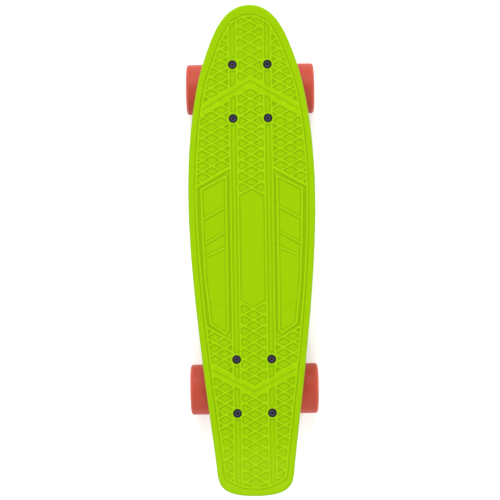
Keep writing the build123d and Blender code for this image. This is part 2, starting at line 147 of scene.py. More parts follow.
class Graph:
    """The nodes of one material, or of the sky."""

    MIX_FACTOR, MIX_FIRST, MIX_SECOND, MIX_COLOUR = 0, 6, 7, 2

    def __init__(self, owner: "bpy.types.Material | bpy.types.World") -> None:
        """Empties the owner's node tree.

        Args:
            owner: What the nodes belong to.
        """
        owner.use_nodes = True
        self.owner = owner
        self.tree = owner.node_tree
        self.tree.nodes.clear()

    @classmethod
    def named(cls, name: str) -> "Graph":
        """The graph of a new material."""
        return cls(bpy.data.materials.new(name))

    def node(
        self, kind: str, settings: dict | None = None, inputs: dict | None = None, output: int | str = 0
    ) -> Signal:
        """Adds one node.

        Args:
            kind: The node's type.
            settings: Its own settings, set before its sockets.
            inputs: A value or a signal for each socket that isn't left as it is.
            output: Which of its outputs to hand back.

        Returns:
            The chosen output.
        """
        made = self.tree.nodes.new(kind)
        for key, value in (settings or {}).items():
            setattr(made, key, value)
        for key, value in (inputs or {}).items():
            if isinstance(value, Signal):
                self.tree.links.new(value.socket, made.inputs[key])
            else:
                made.inputs[key].default_value = value
        return Signal(self, made.outputs[output] if made.outputs else None)

    def place(self) -> Signal:
        """The point's place on its object, in metres."""
        return self.node("ShaderNodeTexCoord", output="Object")

    def noise(self, scale: float, detail: float = 2.0, stretch: Triple = (1.0, 1.0, 1.0)) -> Signal:
        """Soft noise from 0 to 1.

        Args:
            scale: Spots for each metre.
            detail: How many finer layers it has.
            stretch: Scale along each axis.

        Returns:
            The noise.
        """
        mapped = self.node("ShaderNodeMapping", inputs={"Vector": self.place(), "Scale": stretch})
        inputs = {"Vector": mapped, "Scale": scale, "Detail": detail}
        return self.node("ShaderNodeTexNoise", inputs=inputs)

    def attribute(self, name: str) -> Signal:
        """A number that the mesh holds at each of its points."""
        return self.node("ShaderNodeAttribute", {"attribute_name": name}, output="Fac")

    def mix(self, factor: Signal | float, first: "Signal | Colour", second: "Signal | Colour") -> Signal:
        """Blends two colours.

        Args:
            factor: 0 for the first, 1 for the second.
            first: A colour.
            second: Another colour.

        Returns:
            The blend.
        """
        inputs = {self.MIX_FACTOR: factor, self.MIX_FIRST: first, self.MIX_SECOND: second}
        return self.node("ShaderNodeMix", {"data_type": "RGBA"}, inputs, self.MIX_COLOUR)

    def bump(self, height: Signal, distance: float, strength: float = 1.0) -> Signal:
        """Surface relief too fine for the mesh.

        Args:
            height: Height from 0 to 1.
            distance: What a height of 1 stands for, in metres.
            strength: Share of it that shows.

        Returns:
            A normal.
        """
        inputs = {"Height": height, "Distance": distance, "Strength": strength}
        return self.node("ShaderNodeBump", inputs=inputs)

    def surface(self, **sockets: "Signal | float | Colour") -> bpy.types.Material:
        """Closes the graph with one surface shader.

        Args:
            sockets: Values and signals, with underscores for the spaces in the sockets' names.

        Returns:
            The finished material.
        """
        inputs = {name.replace("_", " "): value for name, value in sockets.items()}
        shader = self.node("ShaderNodeBsdfPrincipled", inputs=inputs, output="BSDF")
        self.node("ShaderNodeOutputMaterial", inputs={"Surface": shader})
        return self.owner


def shade(colour: Colour, factor: float) -> Colour:
    """A colour made lighter or darker."""
    return (colour[0] * factor, colour[1] * factor, colour[2] * factor, 1.0)


@dataclass(frozen=True)
class MouldedPlastic:
    """Glossy coloured plastic with a fine mould grain, a painted highlight on its crests and painted
    shade on the floor beside its ridges.
    """

    name: str = "moulded_plastic"
    colour: Colour = (0.208, 0.373, 0.0004, 1.0)
    # painted highlight: paler colour laid on the ridges' crests
    crest: Colour = (0.232, 0.410, 0.0008, 1.0)
    # painted shade: darker colour laid on the floor beside the ridges
    hollow: Colour = (0.167, 0.309, 0.0002, 1.0)
    roughness: float = 0.42
    gloss: float = 0.03
    ior: float = 1.49
    scratch_run: Triple = (0.12, 1.0, 1.0)
    grain_depth: float = 0.00003

    def material(self) -> bpy.types.Material:
        """The finish as a material: cloudy base, painted highlight on the crests, painted shade beside
        the ridges, long scuffs and a fine grain.

        Returns:
            The material.
        """
        g = Graph.named(self.name)
        cloud = g.noise(9.0, 3.0).smooth(0.3, 0.7)
        base = g.mix(cloud * 0.35, self.colour, shade(self.colour, 0.965))
        # painted shade beside the ridges, then painted highlight on the crests, both read from the
        # mesh's marks
        base = g.mix(g.attribute("hollow"), base, self.hollow)
        base = g.mix(g.attribute("crest"), base, self.crest)
        scratches = g.noise(260.0, 3.0, self.scratch_run).smooth(0.62, 0.72)
        scuff = scratches * g.noise(30.0).smooth(0.5, 0.7)
        grain = g.noise(2600.0, 2.0)
        rough = self.roughness + 0.10 * g.noise(45.0, 3.0) + 0.12 * scuff
        normal = g.bump(grain + 0.4 * scuff, self.grain_depth, 0.5)
        return g.surface(
            Base_Color=base, Roughness=rough, Normal=normal, IOR=self.ior, Specular_IOR_Level=self.gloss
        )


@dataclass(frozen=True)
class Urethane:
    """Cast urethane: satin, faintly cloudy, scuffed where it rolls."""

    name: str
    colour: Colour
    roughness: float = 0.42
    gloss: float = 0.3
    ior: float = 1.48
    rolling: Triple = (0.0, 1.0, 0.0)
    band_depth: float = 0.00004

    def material(self) -> bpy.types.Material:
        """The finish as a material: cloudy base, specks of grit and bands from rolling.

        Returns:
            The material.
        """
        g = Graph.named(self.name)
        cloud = g.noise(40.0, 3.0).smooth(0.3, 0.7)
        base = g.mix(cloud * 0.5, self.colour, shade(self.colour, 0.93))
        specks = g.noise(900.0, 2.0).smooth(0.66, 0.74) * g.noise(70.0).smooth(0.45, 0.65)
        base = g.mix(specks * 0.25, base, shade(self.colour, 0.6))
        bands = g.noise(170.0, 2.0, self.rolling)
        base = g.mix(bands.smooth(0.4, 0.7) * 0.3, base, shade(self.colour, 0.9))
        rough = self.roughness + 0.12 * g.noise(90.0, 3.0) + 0.1 * specks
        normal = g.bump(g.noise(1500.0, 3.0) + bands, self.band_depth, 0.45)
        return g.surface(
            Base_Color=base, Roughness=rough, Normal=normal, IOR=self.ior, Specular_IOR_Level=self.gloss
        )


@dataclass(frozen=True)
class CastAluminium:
    """Tumbled aluminium casting: fine grain, darker dull patches at random, a few handling marks."""

    name: str = "cast_aluminium"
    colour: Colour = (0.50, 0.51, 0.52, 1.0)
    metallic: float = 0.92
    handling: Triple = (1.0, 0.15, 1.0)
    grain_depth: float = 0.00006

    def material(self) -> bpy.types.Material:
        """The finish as a material: dull patches, a cast grain and thin handling marks.

        Returns:
            The material.
        """
        g = Graph.named(self.name)
        patches = g.noise(60.0, 4.0).smooth(0.35, 0.65)
        base = g.mix(patches * 0.5, self.colour, shade(self.colour, 0.82))
        grain = g.noise(1800.0, 3.0)
        marks = g.noise(400.0, 2.0, self.handling).smooth(0.66, 0.7)
        rough = 0.36 + 0.16 * patches + 0.12 * grain
        normal = g.bump(grain - 0.6 * marks, self.grain_depth, 0.5)
        return g.surface(Base_Color=base, Metallic=self.metallic, Roughness=rough, Normal=normal)


@dataclass(frozen=True)
class TurnedMetal:
    """Machined or plated metal with faint tool marks."""

    name: str
    colour: Colour
    metallic: float = 1.0
    roughness: float = 0.26
    bare: Colour | None = None
    grain: float = 2200.0
    grain_depth: float = 0.00002

    def material(self) -> bpy.types.Material:
        """The finish as a material: dull patches, bare spots where it has them, and tool marks.

        Returns:
            The material.
        """
        g = Graph.named(self.name)
        dull = g.noise(180.0, 3.0).smooth(0.3, 0.75)
        base = g.mix(dull * 0.4, self.colour, shade(self.colour, 0.78))
        if self.bare is not None:
            base = g.mix(g.attribute("bare"), base, self.bare)
        fine = g.noise(self.grain, 2.0)
        rough = self.roughness + 0.14 * dull + 0.06 * fine
        normal = g.bump(fine, self.grain_depth, 0.4)
        return g.surface(Base_Color=base, Metallic=self.metallic, Roughness=rough, Normal=normal)


@dataclass(frozen=True)
class HardPlastic:
    """Dense moulded plastic with a soft sheen, for hubs and pivot cups."""

    name: str
    colour: Colour
    roughness: float = 0.38
    grain_depth: float = 0.00003

    def material(self) -> bpy.types.Material:
        """The finish as a material: cloudy base and a moulded grain.

        Returns:
            The material.
        """
        g = Graph.named(self.name)
        cloud = g.noise(120.0, 3.0)
        base = g.mix(cloud * 0.4, self.colour, shade(self.colour, 0.88))
        rough = self.roughness + 0.14 * cloud
        normal = g.bump(g.noise(2400.0, 2.0), self.grain_depth, 0.4)
        return g.surface(Base_Color=base, Roughness=rough, Normal=normal)


@dataclass(frozen=True)
class StudioPaper:
    """Matt pale backdrop."""

    name: str = "studio_paper"
    colour: Colour = (0.94, 0.94, 0.94, 1.0)
    glow: float = 0.09

    def material(self) -> bpy.types.Material:
        """The finish as a material: faint fibres, and a little light of its own.

        Returns:
            The material.
        """
        g = Graph.named(self.name)
        fibre = g.noise(300.0, 2.0)
        paper = g.mix(fibre * 0.2, self.colour, shade(self.colour, 0.98))
        rough = 0.85 + 0.1 * fibre
        return g.surface(
            Base_Color=paper, Roughness=rough, Emission_Color=paper, Emission_Strength=self.glow
        )


class Finish(Enum):
    """Every finish on the board, by the record's slot."""

    DECK = MouldedPlastic()
    WHEEL = Urethane("wheel_urethane", (0.42, 0.055, 0.033, 1.0), gloss=0.16)
    BUSHING = Urethane("bushing_urethane", (0.80, 0.74, 0.60, 1.0), 0.34)
    PIVOT = HardPlastic("pivot_cup_plastic", (0.035, 0.035, 0.04, 1.0), 0.45)
    CORE = HardPlastic("hub_plastic", (0.78, 0.77, 0.72, 1.0))
    CAST = CastAluminium()
    STEEL = TurnedMetal("plated_steel", (0.62, 0.62, 0.60, 1.0))
    BEARING = TurnedMetal("bearing_steel", (0.66, 0.66, 0.67, 1.0), roughness=0.16)
    SHIELD = TurnedMetal("bearing_shield", (0.045, 0.05, 0.06, 1.0), 0.3, 0.36)
    BOLT = TurnedMetal(
        "dark_bolt", (0.007, 0.0065, 0.014, 1.0), 0.4, 0.34, (0.044, 0.039, 0.075, 1.0)
    )

    @property
    def slot(self) -> str:
        """The record's slot."""
        return self.name.lower()


class Dresser:
    """Makes each finish's material once and puts it on pieces."""

    def __init__(self) -> None:
        """Starts with no material made."""
        self.made: dict[Finish, bpy.types.Material] = {}

    def material(self, finish: Finish) -> bpy.types.Material:
        """Looks up a finish's material.

        Args:
            finish: The finish.

        Returns:
            Its material, made on first use.
        """
        if finish not in self.made:
            self.made[finish] = finish.value.material()
        return self.made[finish]

    def dress(self, piece: bpy.types.Object, finish: Finish) -> None:
        """Gives a whole piece one finish.

        Args:
            piece: The object.
            finish: The finish.
        """
        piece.data.materials.clear()
        piece.data.materials.append(self.material(finish))

    def dress_node(self, node: str, finish: Finish) -> None:
        """Gives a carried-over CAD node its finish.

        Args:
            node: The node's name.
            finish: The finish.
        """
        self.dress(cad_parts[node], finish)
        log.info("node %s: %s", node, finish.value.name)


# ------------------------------------------------------------------ mesh making


def unit(vectors: Array) -> Array:
    """Vectors scaled to a length of one."""
    length = np.linalg.norm(vectors, axis=-1, keepdims=True)
    return vectors / np.maximum(length, 1e-12)


class Patchwork:
    """A mesh sewn together from patches that bring their own normals."""

    WELD = 0.0005
    SHARP = math.radians(50)

    def __init__(self) -> None:
        """Starts with no patch."""
        self.points: list[Array] = []
        self.normals: list[Array] = []
        self.trusted: list[Array] = []
        self.marks: dict[str, list[Array]] = {}
        self.faces: list[tuple[int, ...]] = []
        self.wound: list[bool] = []
        self.count = 0

    def add(
        self,
        points: Array,
        faces: list[tuple[int, ...]],
        normals: Array,
        exact: bool = True,
        wound: bool = False,
        **marks: Array,
    ) -> None:
        """Adds one patch.

        Args:
            points: Its points, in millimetres.
            faces: Its faces, by index into the points.
            normals: The surface's direction at each point.
            exact: Whether shading follows those normals, or else the faces.
            wound: Whether the faces already turn outwards.
            marks: Numbers at each point that a finish reads.
        """
        self.faces += [tuple(index + self.count for index in face) for face in faces]
        self.wound += [wound] * len(faces)
        self.points.append(np.asarray(points, float))
        self.normals.append(unit(np.asarray(normals, float)))
        self.trusted.append(np.full(len(points), 1.0 if exact else 0.0))
        for name in set(self.marks) | set(marks):
            rows = self.marks.setdefault(name, [np.zeros(self.count)] if self.count else [])
            rows.append(np.asarray(marks.get(name, np.zeros(len(points))), float))
        self.count += len(points)

    def sew(self, name: str) -> bpy.types.Object:
        """Welds the patches into one object, with every face turned outwards.

        Args:
            name: The object's name.

        Returns:
            The object, in metres.
        """
        points = np.concatenate(self.points)
        normals = np.concatenate(self.normals)
        keys = np.round(points / self.WELD).astype(np.int64)
        _, first, owner = np.unique(keys, axis=0, return_index=True, return_inverse=True)
        owner = owner.reshape(-1)
        kept, corners = [], []
        for face, wound in zip(self.faces, self.wound):
            ring = [
                index for at, index in enumerate(face) if owner[index] != owner[face[at - 1]]
            ]
            if len(ring) < 3 or len({owner[index] for index in ring}) < len(ring):
                continue
            a, b, c = (points[ring[at]] for at in (0, 1, 2))
            turn = np.cross(b - a, c - a)
            if len(ring) == 4:
                turn = np.cross(c - a, points[ring[3]] - b)
            if not wound and np.dot(turn, sum(normals[index] for index in ring)) < 0:
                ring.reverse()
            kept.append([int(owner[index]) for index in ring])
            corners += ring
        mesh = bpy.data.meshes.new(name)
        mesh.from_pydata((points[first] * MM).tolist(), [], kept)
        mesh.polygons.foreach_set("use_smooth", np.ones(len(kept), bool))
        for mark, rows in self.marks.items():
            layer = mesh.attributes.new(mark, "FLOAT", "POINT")
            layer.data.foreach_set("value", np.concatenate(rows)[first].astype(np.float32))
        mesh.set_sharp_from_angle(angle=self.SHARP)
        shading = normals * np.concatenate(self.trusted)[:, None]
        mesh.normals_split_custom_set(shading[corners].tolist())
        mesh.update()
        made = bpy.data.objects.new(name, mesh)
        bpy.context.scene.collection.objects.link(made)
        return made


@dataclass(frozen=True)
class Frame:
    """Where a turned shape stands: its foot and the direction of its axis."""

    origin: Triple = (0.0, 0.0, 0.0)
    axis: Triple = (0.0, 0.0, 1.0)

    def basis(self) -> tuple[Array, Array, Array]:
        """Works out directions to turn a shape in.

        Returns:
            Two directions across the axis, and the axis.
        """
        axis = unit(np.array(self.axis))
        helper = np.array((1.0, 0.0, 0.0)) if abs(axis[0]) < 0.9 else np.array((0.0, 0.0, 1.0))
        across = unit(np.cross(axis, helper))
        return across, np.cross(axis, across), axis


Corner = Pair | Triple
STRAIGHT = 1e-3


def mirrored(face: list[Corner]) -> list[Corner]:
    """Corners with their heights turned round."""
    return [(corner[0], -corner[1], *corner[2:]) for corner in face]


def strips(rows: list[int], count: int) -> list[tuple[int, ...]]:
    """Four-sided faces between rings of points and the rings after them.

    Args:
        rows: The rings that a strip starts from.
        count: Points in each ring.

    Returns:
        The faces, by index.
    """
    faces = []
    for row in rows:
        low, high = row * count, (row + 1) * count
        for at in range(count):
            after = (at + 1) % count
            faces.append((low + at, low + after, high + after, high + at))
    return faces


def rounded(corners: list[Corner], closed: bool = True, steps: int = 5) -> tuple[Array, Array]:
    """Outline in the (radius, height) plane with its corners rounded.

    Args:
        corners: (radius, height) or (radius, height, rounding) points, the solid on their left.
        closed: Whether the last corner joins the first.
        steps: Edges in each rounding.

    Returns:
        Points and outward normals. A sharp corner has its point twice.
    """
    points, normals = [], []
    count = len(corners)
    for at, corner in enumerate(corners):
        here = np.array(corner[:2], float)
        ends = []
        for other in (corners[at - 1], corners[(at + 1) % count]):
            ends.append(np.array(other[:2], float) - here)
        if not closed and at == 0:
            ends[0] = -ends[1]
        if not closed and at == count - 1:
            ends[1] = -ends[0]
        back, ahead = (unit(end) for end in ends)
        normal_out = np.array((ahead[1], -ahead[0]))
        normal_in = np.array((-back[1], back[0]))
        bend = math.acos(float(np.clip(np.dot(-back, ahead), -1, 1)))
        radius = corner[2] if len(corner) > 2 else 0.0
        if bend < STRAIGHT:
            points.append(here)
            normals.append(normal_out)
            continue
        if radius <= 0:
            points += [here, here]
            normals += [normal_in, normal_out]
            continue
        reach = radius * math.tan(bend / 2)
        turn = np.sign(-back[0] * ahead[1] + back[1] * ahead[0])
        centre = here + back * reach - normal_in * radius * turn
        for step in range(steps + 1):
            share = step / steps
            mixed = normal_in * math.sin((1 - share) * bend) + normal_out * math.sin(share * bend)
            mixed = unit(mixed)
            points.append(centre + mixed * radius * turn)
            normals.append(mixed)
    if closed:
        points.append(points[0])
        normals.append(normals[0])
    return np.array(points), np.array(normals)


def turned(
    work: Patchwork,
    corners: list[Corner],
    stand: Frame = Frame(),
    segments: int = 64,
    closed: bool = True,
    steps: int = 5,
    reshape: Callable[[Array, Array, Array], tuple[Array, Array]] | None = None,
    bare: Callable[[Array, Array], Array] | None = None,
) -> None:
    """Turns an outline about an axis into a patch.

    Args:
        work: The mesh that takes the patch.
        corners: The outline, as rounded() takes it.
        stand: Foot and axis.
        segments: Facets round the axis.
        closed: Whether the outline joins up.
        steps: Edges in each rounding.
        reshape: Gives points a new radius and height, from their radius, height and angle.
        bare: How bare the metal is, from 0 to 1, by radius and height.
    """
    outline, facing = rounded(corners, closed, steps)
    across, up, axis = stand.basis()
    angle = np.linspace(0, 2 * math.pi, segments, endpoint=False)
    out = np.cos(angle)[:, None] * across + np.sin(angle)[:, None] * up
    radius = np.repeat(outline[:, 0][:, None], segments, 1)
    height = np.repeat(outline[:, 1][:, None], segments, 1)
    if reshape is not None:
        radius, height = reshape(radius, height, np.repeat(angle[None], len(outline), 0))
    points = np.array(stand.origin) + radius[:, :, None] * out + height[:, :, None] * axis
    normals = facing[:, 0][:, None, None] * out + facing[:, 1][:, None, None] * axis
    rows = [at for at in range(len(outline) - 1) if not np.allclose(outline[at], outline[at + 1])]
    faces = strips(rows, segments)
    marks = {} if bare is None else {"bare": bare(radius, height).ravel()}
    work.add(points.reshape(-1, 3), faces, normals.reshape(-1, 3), reshape is None, **marks)


def thread(radius: float, depth: float, pitch: float, low: float, high: float) -> list[Corner]:
    """Outline of a screw thread, from its low end to its high end.

    Args:
        radius: Radius over the crests.
        depth: Depth of the grooves.
        pitch: Distance from crest to crest.
        low: Height where it begins.
        high: Height where it ends.

    Returns:
        Corners for rounded().
    """
    corners: list[Corner] = []
    for turn in range(int((high - low) / pitch)):
        foot = low + turn * pitch
        crest = [(radius, foot + pitch * 0.4), (radius, foot + pitch * 0.6)]
        corners += [(radius - depth, foot), *crest]
    return corners


def hand_over(
    piece: bpy.types.Object, body: str, node: str, finish: Finish, dresser: Dresser
) -> None:
    """Dresses a rigid piece, sets it on its body, hides the CAD node that it replaces and logs it.

    Args:
        piece: The object.
        body: The body that it rides on.
        node: The CAD node that it replaces.
        finish: Its finish.
        dresser: Puts the finish on.
    """
    dresser.dress(piece, finish)
    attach(piece, body)
    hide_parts(node)
    finish.slot
    log.info("%s: %d faces on %s, %s", piece.name, len(piece.data.polygons), body, finish.value.name)


# ------------------------------------------------------------------ deck


FAR = 1e9


def bezier(points: list[Pair], steps: int) -> Array:
    """Samples a cubic curve.

    Args:
        points: Its four control points.
        steps: How many points to take.

    Returns:
        The points, the curve's last one left out.
    """
    a, b, c, d = (np.array(point, float) for point in points)
    t = np.linspace(0, 1, steps, endpoint=False)[:, None]
    return a * (1 - t) ** 3 + 3 * b * t * (1 - t) ** 2 + 3 * c * t * t * (1 - t) + d * t**3


def single(values: Array) -> Array:
    """Values rounded to single precision, as the triangulation hands them back."""
    return np.asarray(values).astype(np.float32).astype(float)


def smooth_step(value: Array) -> Array:
    """0 below 0, 1 above 1, smooth between."""
    t = np.clip(value, 0, 1)
    return t * t * (3 - 2 * t)


def soft_min(a: Array, b: Array, blend: float) -> Array:
    """The lower of two fields, rounded where they cross."""
    share = np.clip(0.5 + 0.5 * (b - a) / blend, 0, 1)
    return b * (1 - share) + a * share - blend * share * (1 - share)


def segment_distance(x: Array, y: Array, start: Pair, end: Pair) -> Array:
    """Measures from points to a straight line between two ends.

    Args:
        x: The points' first coordinates.
        y: Their second coordinates.
        start: One end.
        end: The other end.

    Returns:
        The distances.
    """
    dx, dy = end[0] - start[0], end[1] - start[1]
    t = np.clip(((x - start[0]) * dx + (y - start[1]) * dy) / (dx * dx + dy * dy), 0, 1)
    return np.hypot(x - start[0] - t * dx, y - start[1] - t * dy)


def polygon_distance(x: Array, y: Array, corners: list[Pair]) -> Array:
    """Measures from points to a closed outline.

    Args:
        x: The points' first coordinates.
        y: Their second coordinates.
        corners: The outline's corners.

    Returns:
        The distances, negative inside.
    """
    distance = np.full(np.shape(x), FAR)
    inside = np.zeros(np.shape(x), bool)
    for at, (bx, by) in enumerate(corners):
        ax, ay = corners[at - 1]
        distance = np.minimum(distance, segment_distance(x, y, (ax, ay), (bx, by)))
        if ay != by:
            crosses = ((ay > y) != (by > y)) & (x < (bx - ax) * (y - ay) / (by - ay) + ax)
            inside ^= crosses
    return np.where(inside, -distance, distance)


@dataclass
class DeckForm:
    """Plan and bends of the deck."""

    length: float = 578.0
    width: float = 150.0
    thickness: float = 12.0
    top_z: float = 92.0
    tail_bend: Triple = (-214.0, 110.0, 20.0)
    nose_bend: Triple = (237.0, 120.0, 10.0)
    grid: float = 2.0
    table: tuple[Array, Array, Array] | None = None

    def half_outline(self, inset: float = 0.0, steps: int = 64) -> Array:
        """Draws the left half of the plan, or of a line inset from it.

        Args:
            inset: How far in it lies.
            steps: Points along each long curve.

        Returns:
            The line, from the nose to the tail.
        """
        nose = self.length / 2 - inset
        widest = self.width / 2 - inset
        shoulder = (225 - 0.33 * inset, 54 - 0.95 * inset)
        ahead = (255 - 0.4 * inset, 44 - 0.9 * inset)
        behind = (192 - 0.33 * inset, 65.5 - 0.95 * inset)
        root = (-256.0, 46 - inset)
        line = np.concatenate([
            bezier([(nose, 0), (nose, 31 - 0.6 * inset), ahead, shoulder], steps),
            bezier([shoulder, behind, (132, widest), (64, widest)], steps // 2),
            bezier([(64, widest), (-35, widest), (-156, 58 - inset), root], steps),
            bezier([root, (-273, 44 - inset), (-nose, 45.4 - inset), (-nose, 0)], steps),
            np.array([(-nose, 0.0)]),
        ])
        return single(line)

    def edge_distance(self, x: Array, y: Array) -> Array:
        """Measures in from the plan's edge, by a table made on first use.

        Args:
            x: Places along the deck.
            y: Places to the side.

        Returns:
            The distances, negative off the deck.
        """
        if self.table is None:
            xs, ys = np.arange(-292, 293, self.grid), np.arange(-6, 81, self.grid)
            gx, gy = np.meshgrid(xs, ys, indexing="ij")
            line = self.half_outline(0.0, 160)
            whole = [tuple(point) for point in np.concatenate([line, line[-2:0:-1] * (1, -1)])]
            self.table = (xs, ys, -polygon_distance(gx, gy, whole))
        xs, ys, values = self.table
        fx = np.clip((x - xs[0]) / self.grid, 0, len(xs) - 1.001)
        fy = np.clip((np.abs(y) - ys[0]) / self.grid, 0, len(ys) - 1.001)
        ix, iy = fx.astype(int), fy.astype(int)
        tx, ty = fx - ix, fy - iy
        low = values[ix, iy] * (1 - tx) + values[ix + 1, iy] * tx
        high = values[ix, iy + 1] * (1 - tx) + values[ix + 1, iy + 1] * tx
        return low * (1 - ty) + high * ty

    def height(self, x: Array, depth: Array) -> Array:
        """Bends the deck.

        Args:
            x: Places along the deck.
            depth: How far the surface runs below the deck's top.

        Returns:
            The surface's heights.
        """
        z = self.top_z - depth + 0.0 * x
        for (bend_x, radius, angle), out in ((self.tail_bend, -1.0), (self.nose_bend, 1.0)):
            turn = math.radians(angle)
            away = (x - bend_x) * out
            full = radius + depth
            arc = self.top_z + radius - np.sqrt(np.maximum(full * full - away * away, 1.0))
            end = full * math.sin(turn)
            slope = self.top_z + radius - full * math.cos(turn) + (away - end) * math.tan(turn)
            z = np.where(away > end, slope, np.where(away > 0, arc, z))
        return z


@dataclass
class ReliefPattern:
    """Low tread pattern on the deck's top: rim, two channels, diamond lattice, panels and chevrons.

    Each feature is a distance in millimetres, negative where the feature stands up.
    """

    form: DeckForm
    depth: float = 1.0
    slope: Pair = (-0.35, 1.1)
    ridge: float = 0.85
    rim_inset: float = 9.4
    nose_inset: float = 11.2
    channel: Pair = (16.0, 24.8)
    pitch: float = 13.1
    lattice_lean: float = 0.565
    centre_ends: Pair = (73.6, -69.7)
    panel_ends: tuple[Pair, Pair] = ((111.3, 0.56), (-122.2, 0.57))
    panel_frame: tuple[Pair, ...] = (
        (71.9, 59.7), (87.2, 30.2), (-94.5, 30.2), (-98.5, 33.5),
        (-86.6, 50.5), (-35.5, 56.1), (17.0, 58.3),
    )
    panel_bars: tuple[tuple[Pair, Pair], ...] = (
        ((37.1, 56.7), (50.0, 32.9)), ((7.8, 55.7), (20.5, 32.8)), ((-6.5, 54.0), (2.5, 33.0)),
    )
    plateau: tuple[Pair, ...] = ((-6.5, 56.0), (2.5, 31.0), (-68.6, 31.0), (-60.5, 52.0))
    chevrons: tuple[Triple, ...] = ((199.3, 0.59, 1.0), (-167.7, 0.533, -1.0))
    chevron_half: Pair = (0.7, 5.6)
    nose_line: float = 275.4
    tail_arc: Pair = (-223.2, 56.6)
    tail_from: float = -240.0
    bolt_boss: float = 7.4
    lozenge: Pair = (5.4, 3.3)
    lozenge_pitch: float = 13.7
    lozenge_count: int = 8
    lozenge_height: float = 0.3
    levels: tuple[float, ...] = (-0.35, 0.05, 0.4, 0.75, 1.1, 2.4)
    plateau_levels: tuple[float, ...] = (-0.3, 0.15, 0.6)
    lozenge_levels: tuple[float, ...] = (-0.35, 0.0, 0.35)
    # how far the painted shade beside the ridges fades towards the nose and the tail
    nose_fade: float = 0.4
    tail_fade: float = 0.65
    fade_from: float = 185.0
    fade_run: float = 60.0

    def field_distance(self, x: Array, y: Array) -> Array:
        """Measures in from the line that bounds the patterned field.

        Args:
            x: Places along the deck.
            y: Places to the side.

        Returns:
            The distances, negative outside it.
        """
        near_nose = smooth_step((x - 190) / 40)
        inset = self.rim_inset + (self.nose_inset - self.rim_inset) * near_nose
        f = self.form.edge_distance(x, y) - inset
        f = np.minimum(f, self.nose_line - x)
        corner = ((self.nose_line - x) * 17.8 + (7.0 - y) * 8.8) / math.hypot(17.8, 8.8)
        f = np.minimum(f, corner)
        middle, radius = self.tail_arc
        tail = radius - np.hypot(x - middle, y)
        return np.where(x < self.tail_from, np.minimum(f, tail), f)

    def thin_ridges(self, x: Array, y: Array) -> Array:
        """Measures to the channel edges, the lattice and the panel lines.

        Args:
            x: Places along the deck.
            y: Places to the side.

        Returns:
            The distances, negative on them.
        """
        inner, outer = self.channel
        lean = self.lattice_lean
        across = math.cos(math.atan(lean))
        channels = np.minimum(np.abs(y - inner), np.abs(y - outer)) - self.ridge
        in_channel = (outer - inner) / 2 - np.abs(y - (outer + inner) / 2)
        grids = []
        for origin, (side_x, side_lean), out in zip(self.centre_ends, self.panel_ends, (1.0, -1.0)):
            waves = []
            for sign in (1.0, -1.0):
                along = x - origin + sign * lean * y
                wrapped = along - self.pitch * np.round(along / self.pitch)
                waves.append(np.abs(wrapped) * across - 0.8)
            grid = soft_min(waves[0], waves[1], 1.2)
            centre_gap = -(x - origin + out * lean * y) * out * across - 0.8
            side_line = (x - side_x + out * side_lean * y) * out * across
            gap = np.where(y < (inner + outer) / 2, centre_gap, -side_line - self.ridge)
            grid = np.maximum(grid, gap)
            side_ridge = np.where(y > outer - self.ridge, np.abs(side_line) - self.ridge, 9.0)
            grids.append(np.minimum(np.maximum(grid, in_channel), side_ridge))
        lines = np.minimum(grids[0], grids[1])
        frame_line = np.abs(polygon_distance(x, y, list(self.panel_frame))) - 0.9
        lines = np.minimum(lines, frame_line)
        for start, end in self.panel_bars:
            lines = np.minimum(lines, segment_distance(x, y, start, end) - 0.75)
        return np.minimum(lines, channels)

    def bolt_distance(self, x: Array, y: Array) -> Array:
        """Distance to the nearest mounting bolt's axis, on the left half."""
        left = [place for place in bolt_places() if place[1] > 0]
        return np.minimum.reduce([np.hypot(x - bolt_x, y - bolt_y) for bolt_x, bolt_y in left])

    def distance(self, x: Array, y: Array) -> Array:
        """Distance to the nearest raised surface, negative on it.

        Args:
            x: Places along the deck.
            y: Places to the side.

        Returns:
            The distances.
        """
        y = np.abs(y)
        field = self.field_distance(x, y)
        inner = self.thin_ridges(x, y)
        for place, lean, out in self.chevrons:
            v = np.abs((x - place + out * lean * y) * math.cos(math.atan(lean)))
            inner = np.maximum(np.minimum(inner, v - self.chevron_half[1]), self.chevron_half[0] - v)
        inner = np.minimum(inner, self.bolt_distance(x, y) - self.bolt_boss)
        inner = np.maximum(inner, -field)
        rim = np.minimum(field + 2.6, np.abs(field) - self.ridge)
        return np.minimum(rim, inner)

    def plateau_distance(self, x: Array, y: Array) -> Array:
        """Distance to the half-height plateau in each side panel, negative on it."""
        return polygon_distance(x, np.abs(y), list(self.plateau))

    def lozenge_distance(self, x: Array, y: Array) -> Array:
        """Measures to the faint row of lozenge outlines down the middle panel.

        Args:
            x: Places along the deck.
            y: Places to the side.

        Returns:
            The distances, negative on them.
        """
        half_x, half_y = self.lozenge
        reach = (self.lozenge_count - 1) / 2
        index = np.clip(np.round(x / self.lozenge_pitch + reach), 0, self.lozenge_count - 1)
        along = np.abs(x - (index - reach) * self.lozenge_pitch)
        scale = half_x * half_y / math.hypot(half_x, half_y)
        return np.abs((along / half_x + np.abs(y) / half_y - 1) * scale) - 0.45

    def hollow(self, x: Array, y: Array) -> Array:
        """Works out how deep the pattern lies below the deck's top.

        Args:
            x: Places along the deck.
            y: Places to the side.

        Returns:
            The depths.
        """
        low, high = self.slope
        drop = smooth_step((self.distance(x, y) - low) / (high - low))
        low, high = -self.plateau_levels[-1], -self.plateau_levels[0]
        stand = smooth_step((-self.plateau_distance(x, y) - low) / (high - low))
        low, high = self.lozenge_levels[0], self.lozenge_levels[-1]
        faint = 1 - smooth_step((self.lozenge_distance(x, y) - low) / (high - low))
        return self.depth * drop * (1 - 0.5 * stand) - self.lozenge_height * faint

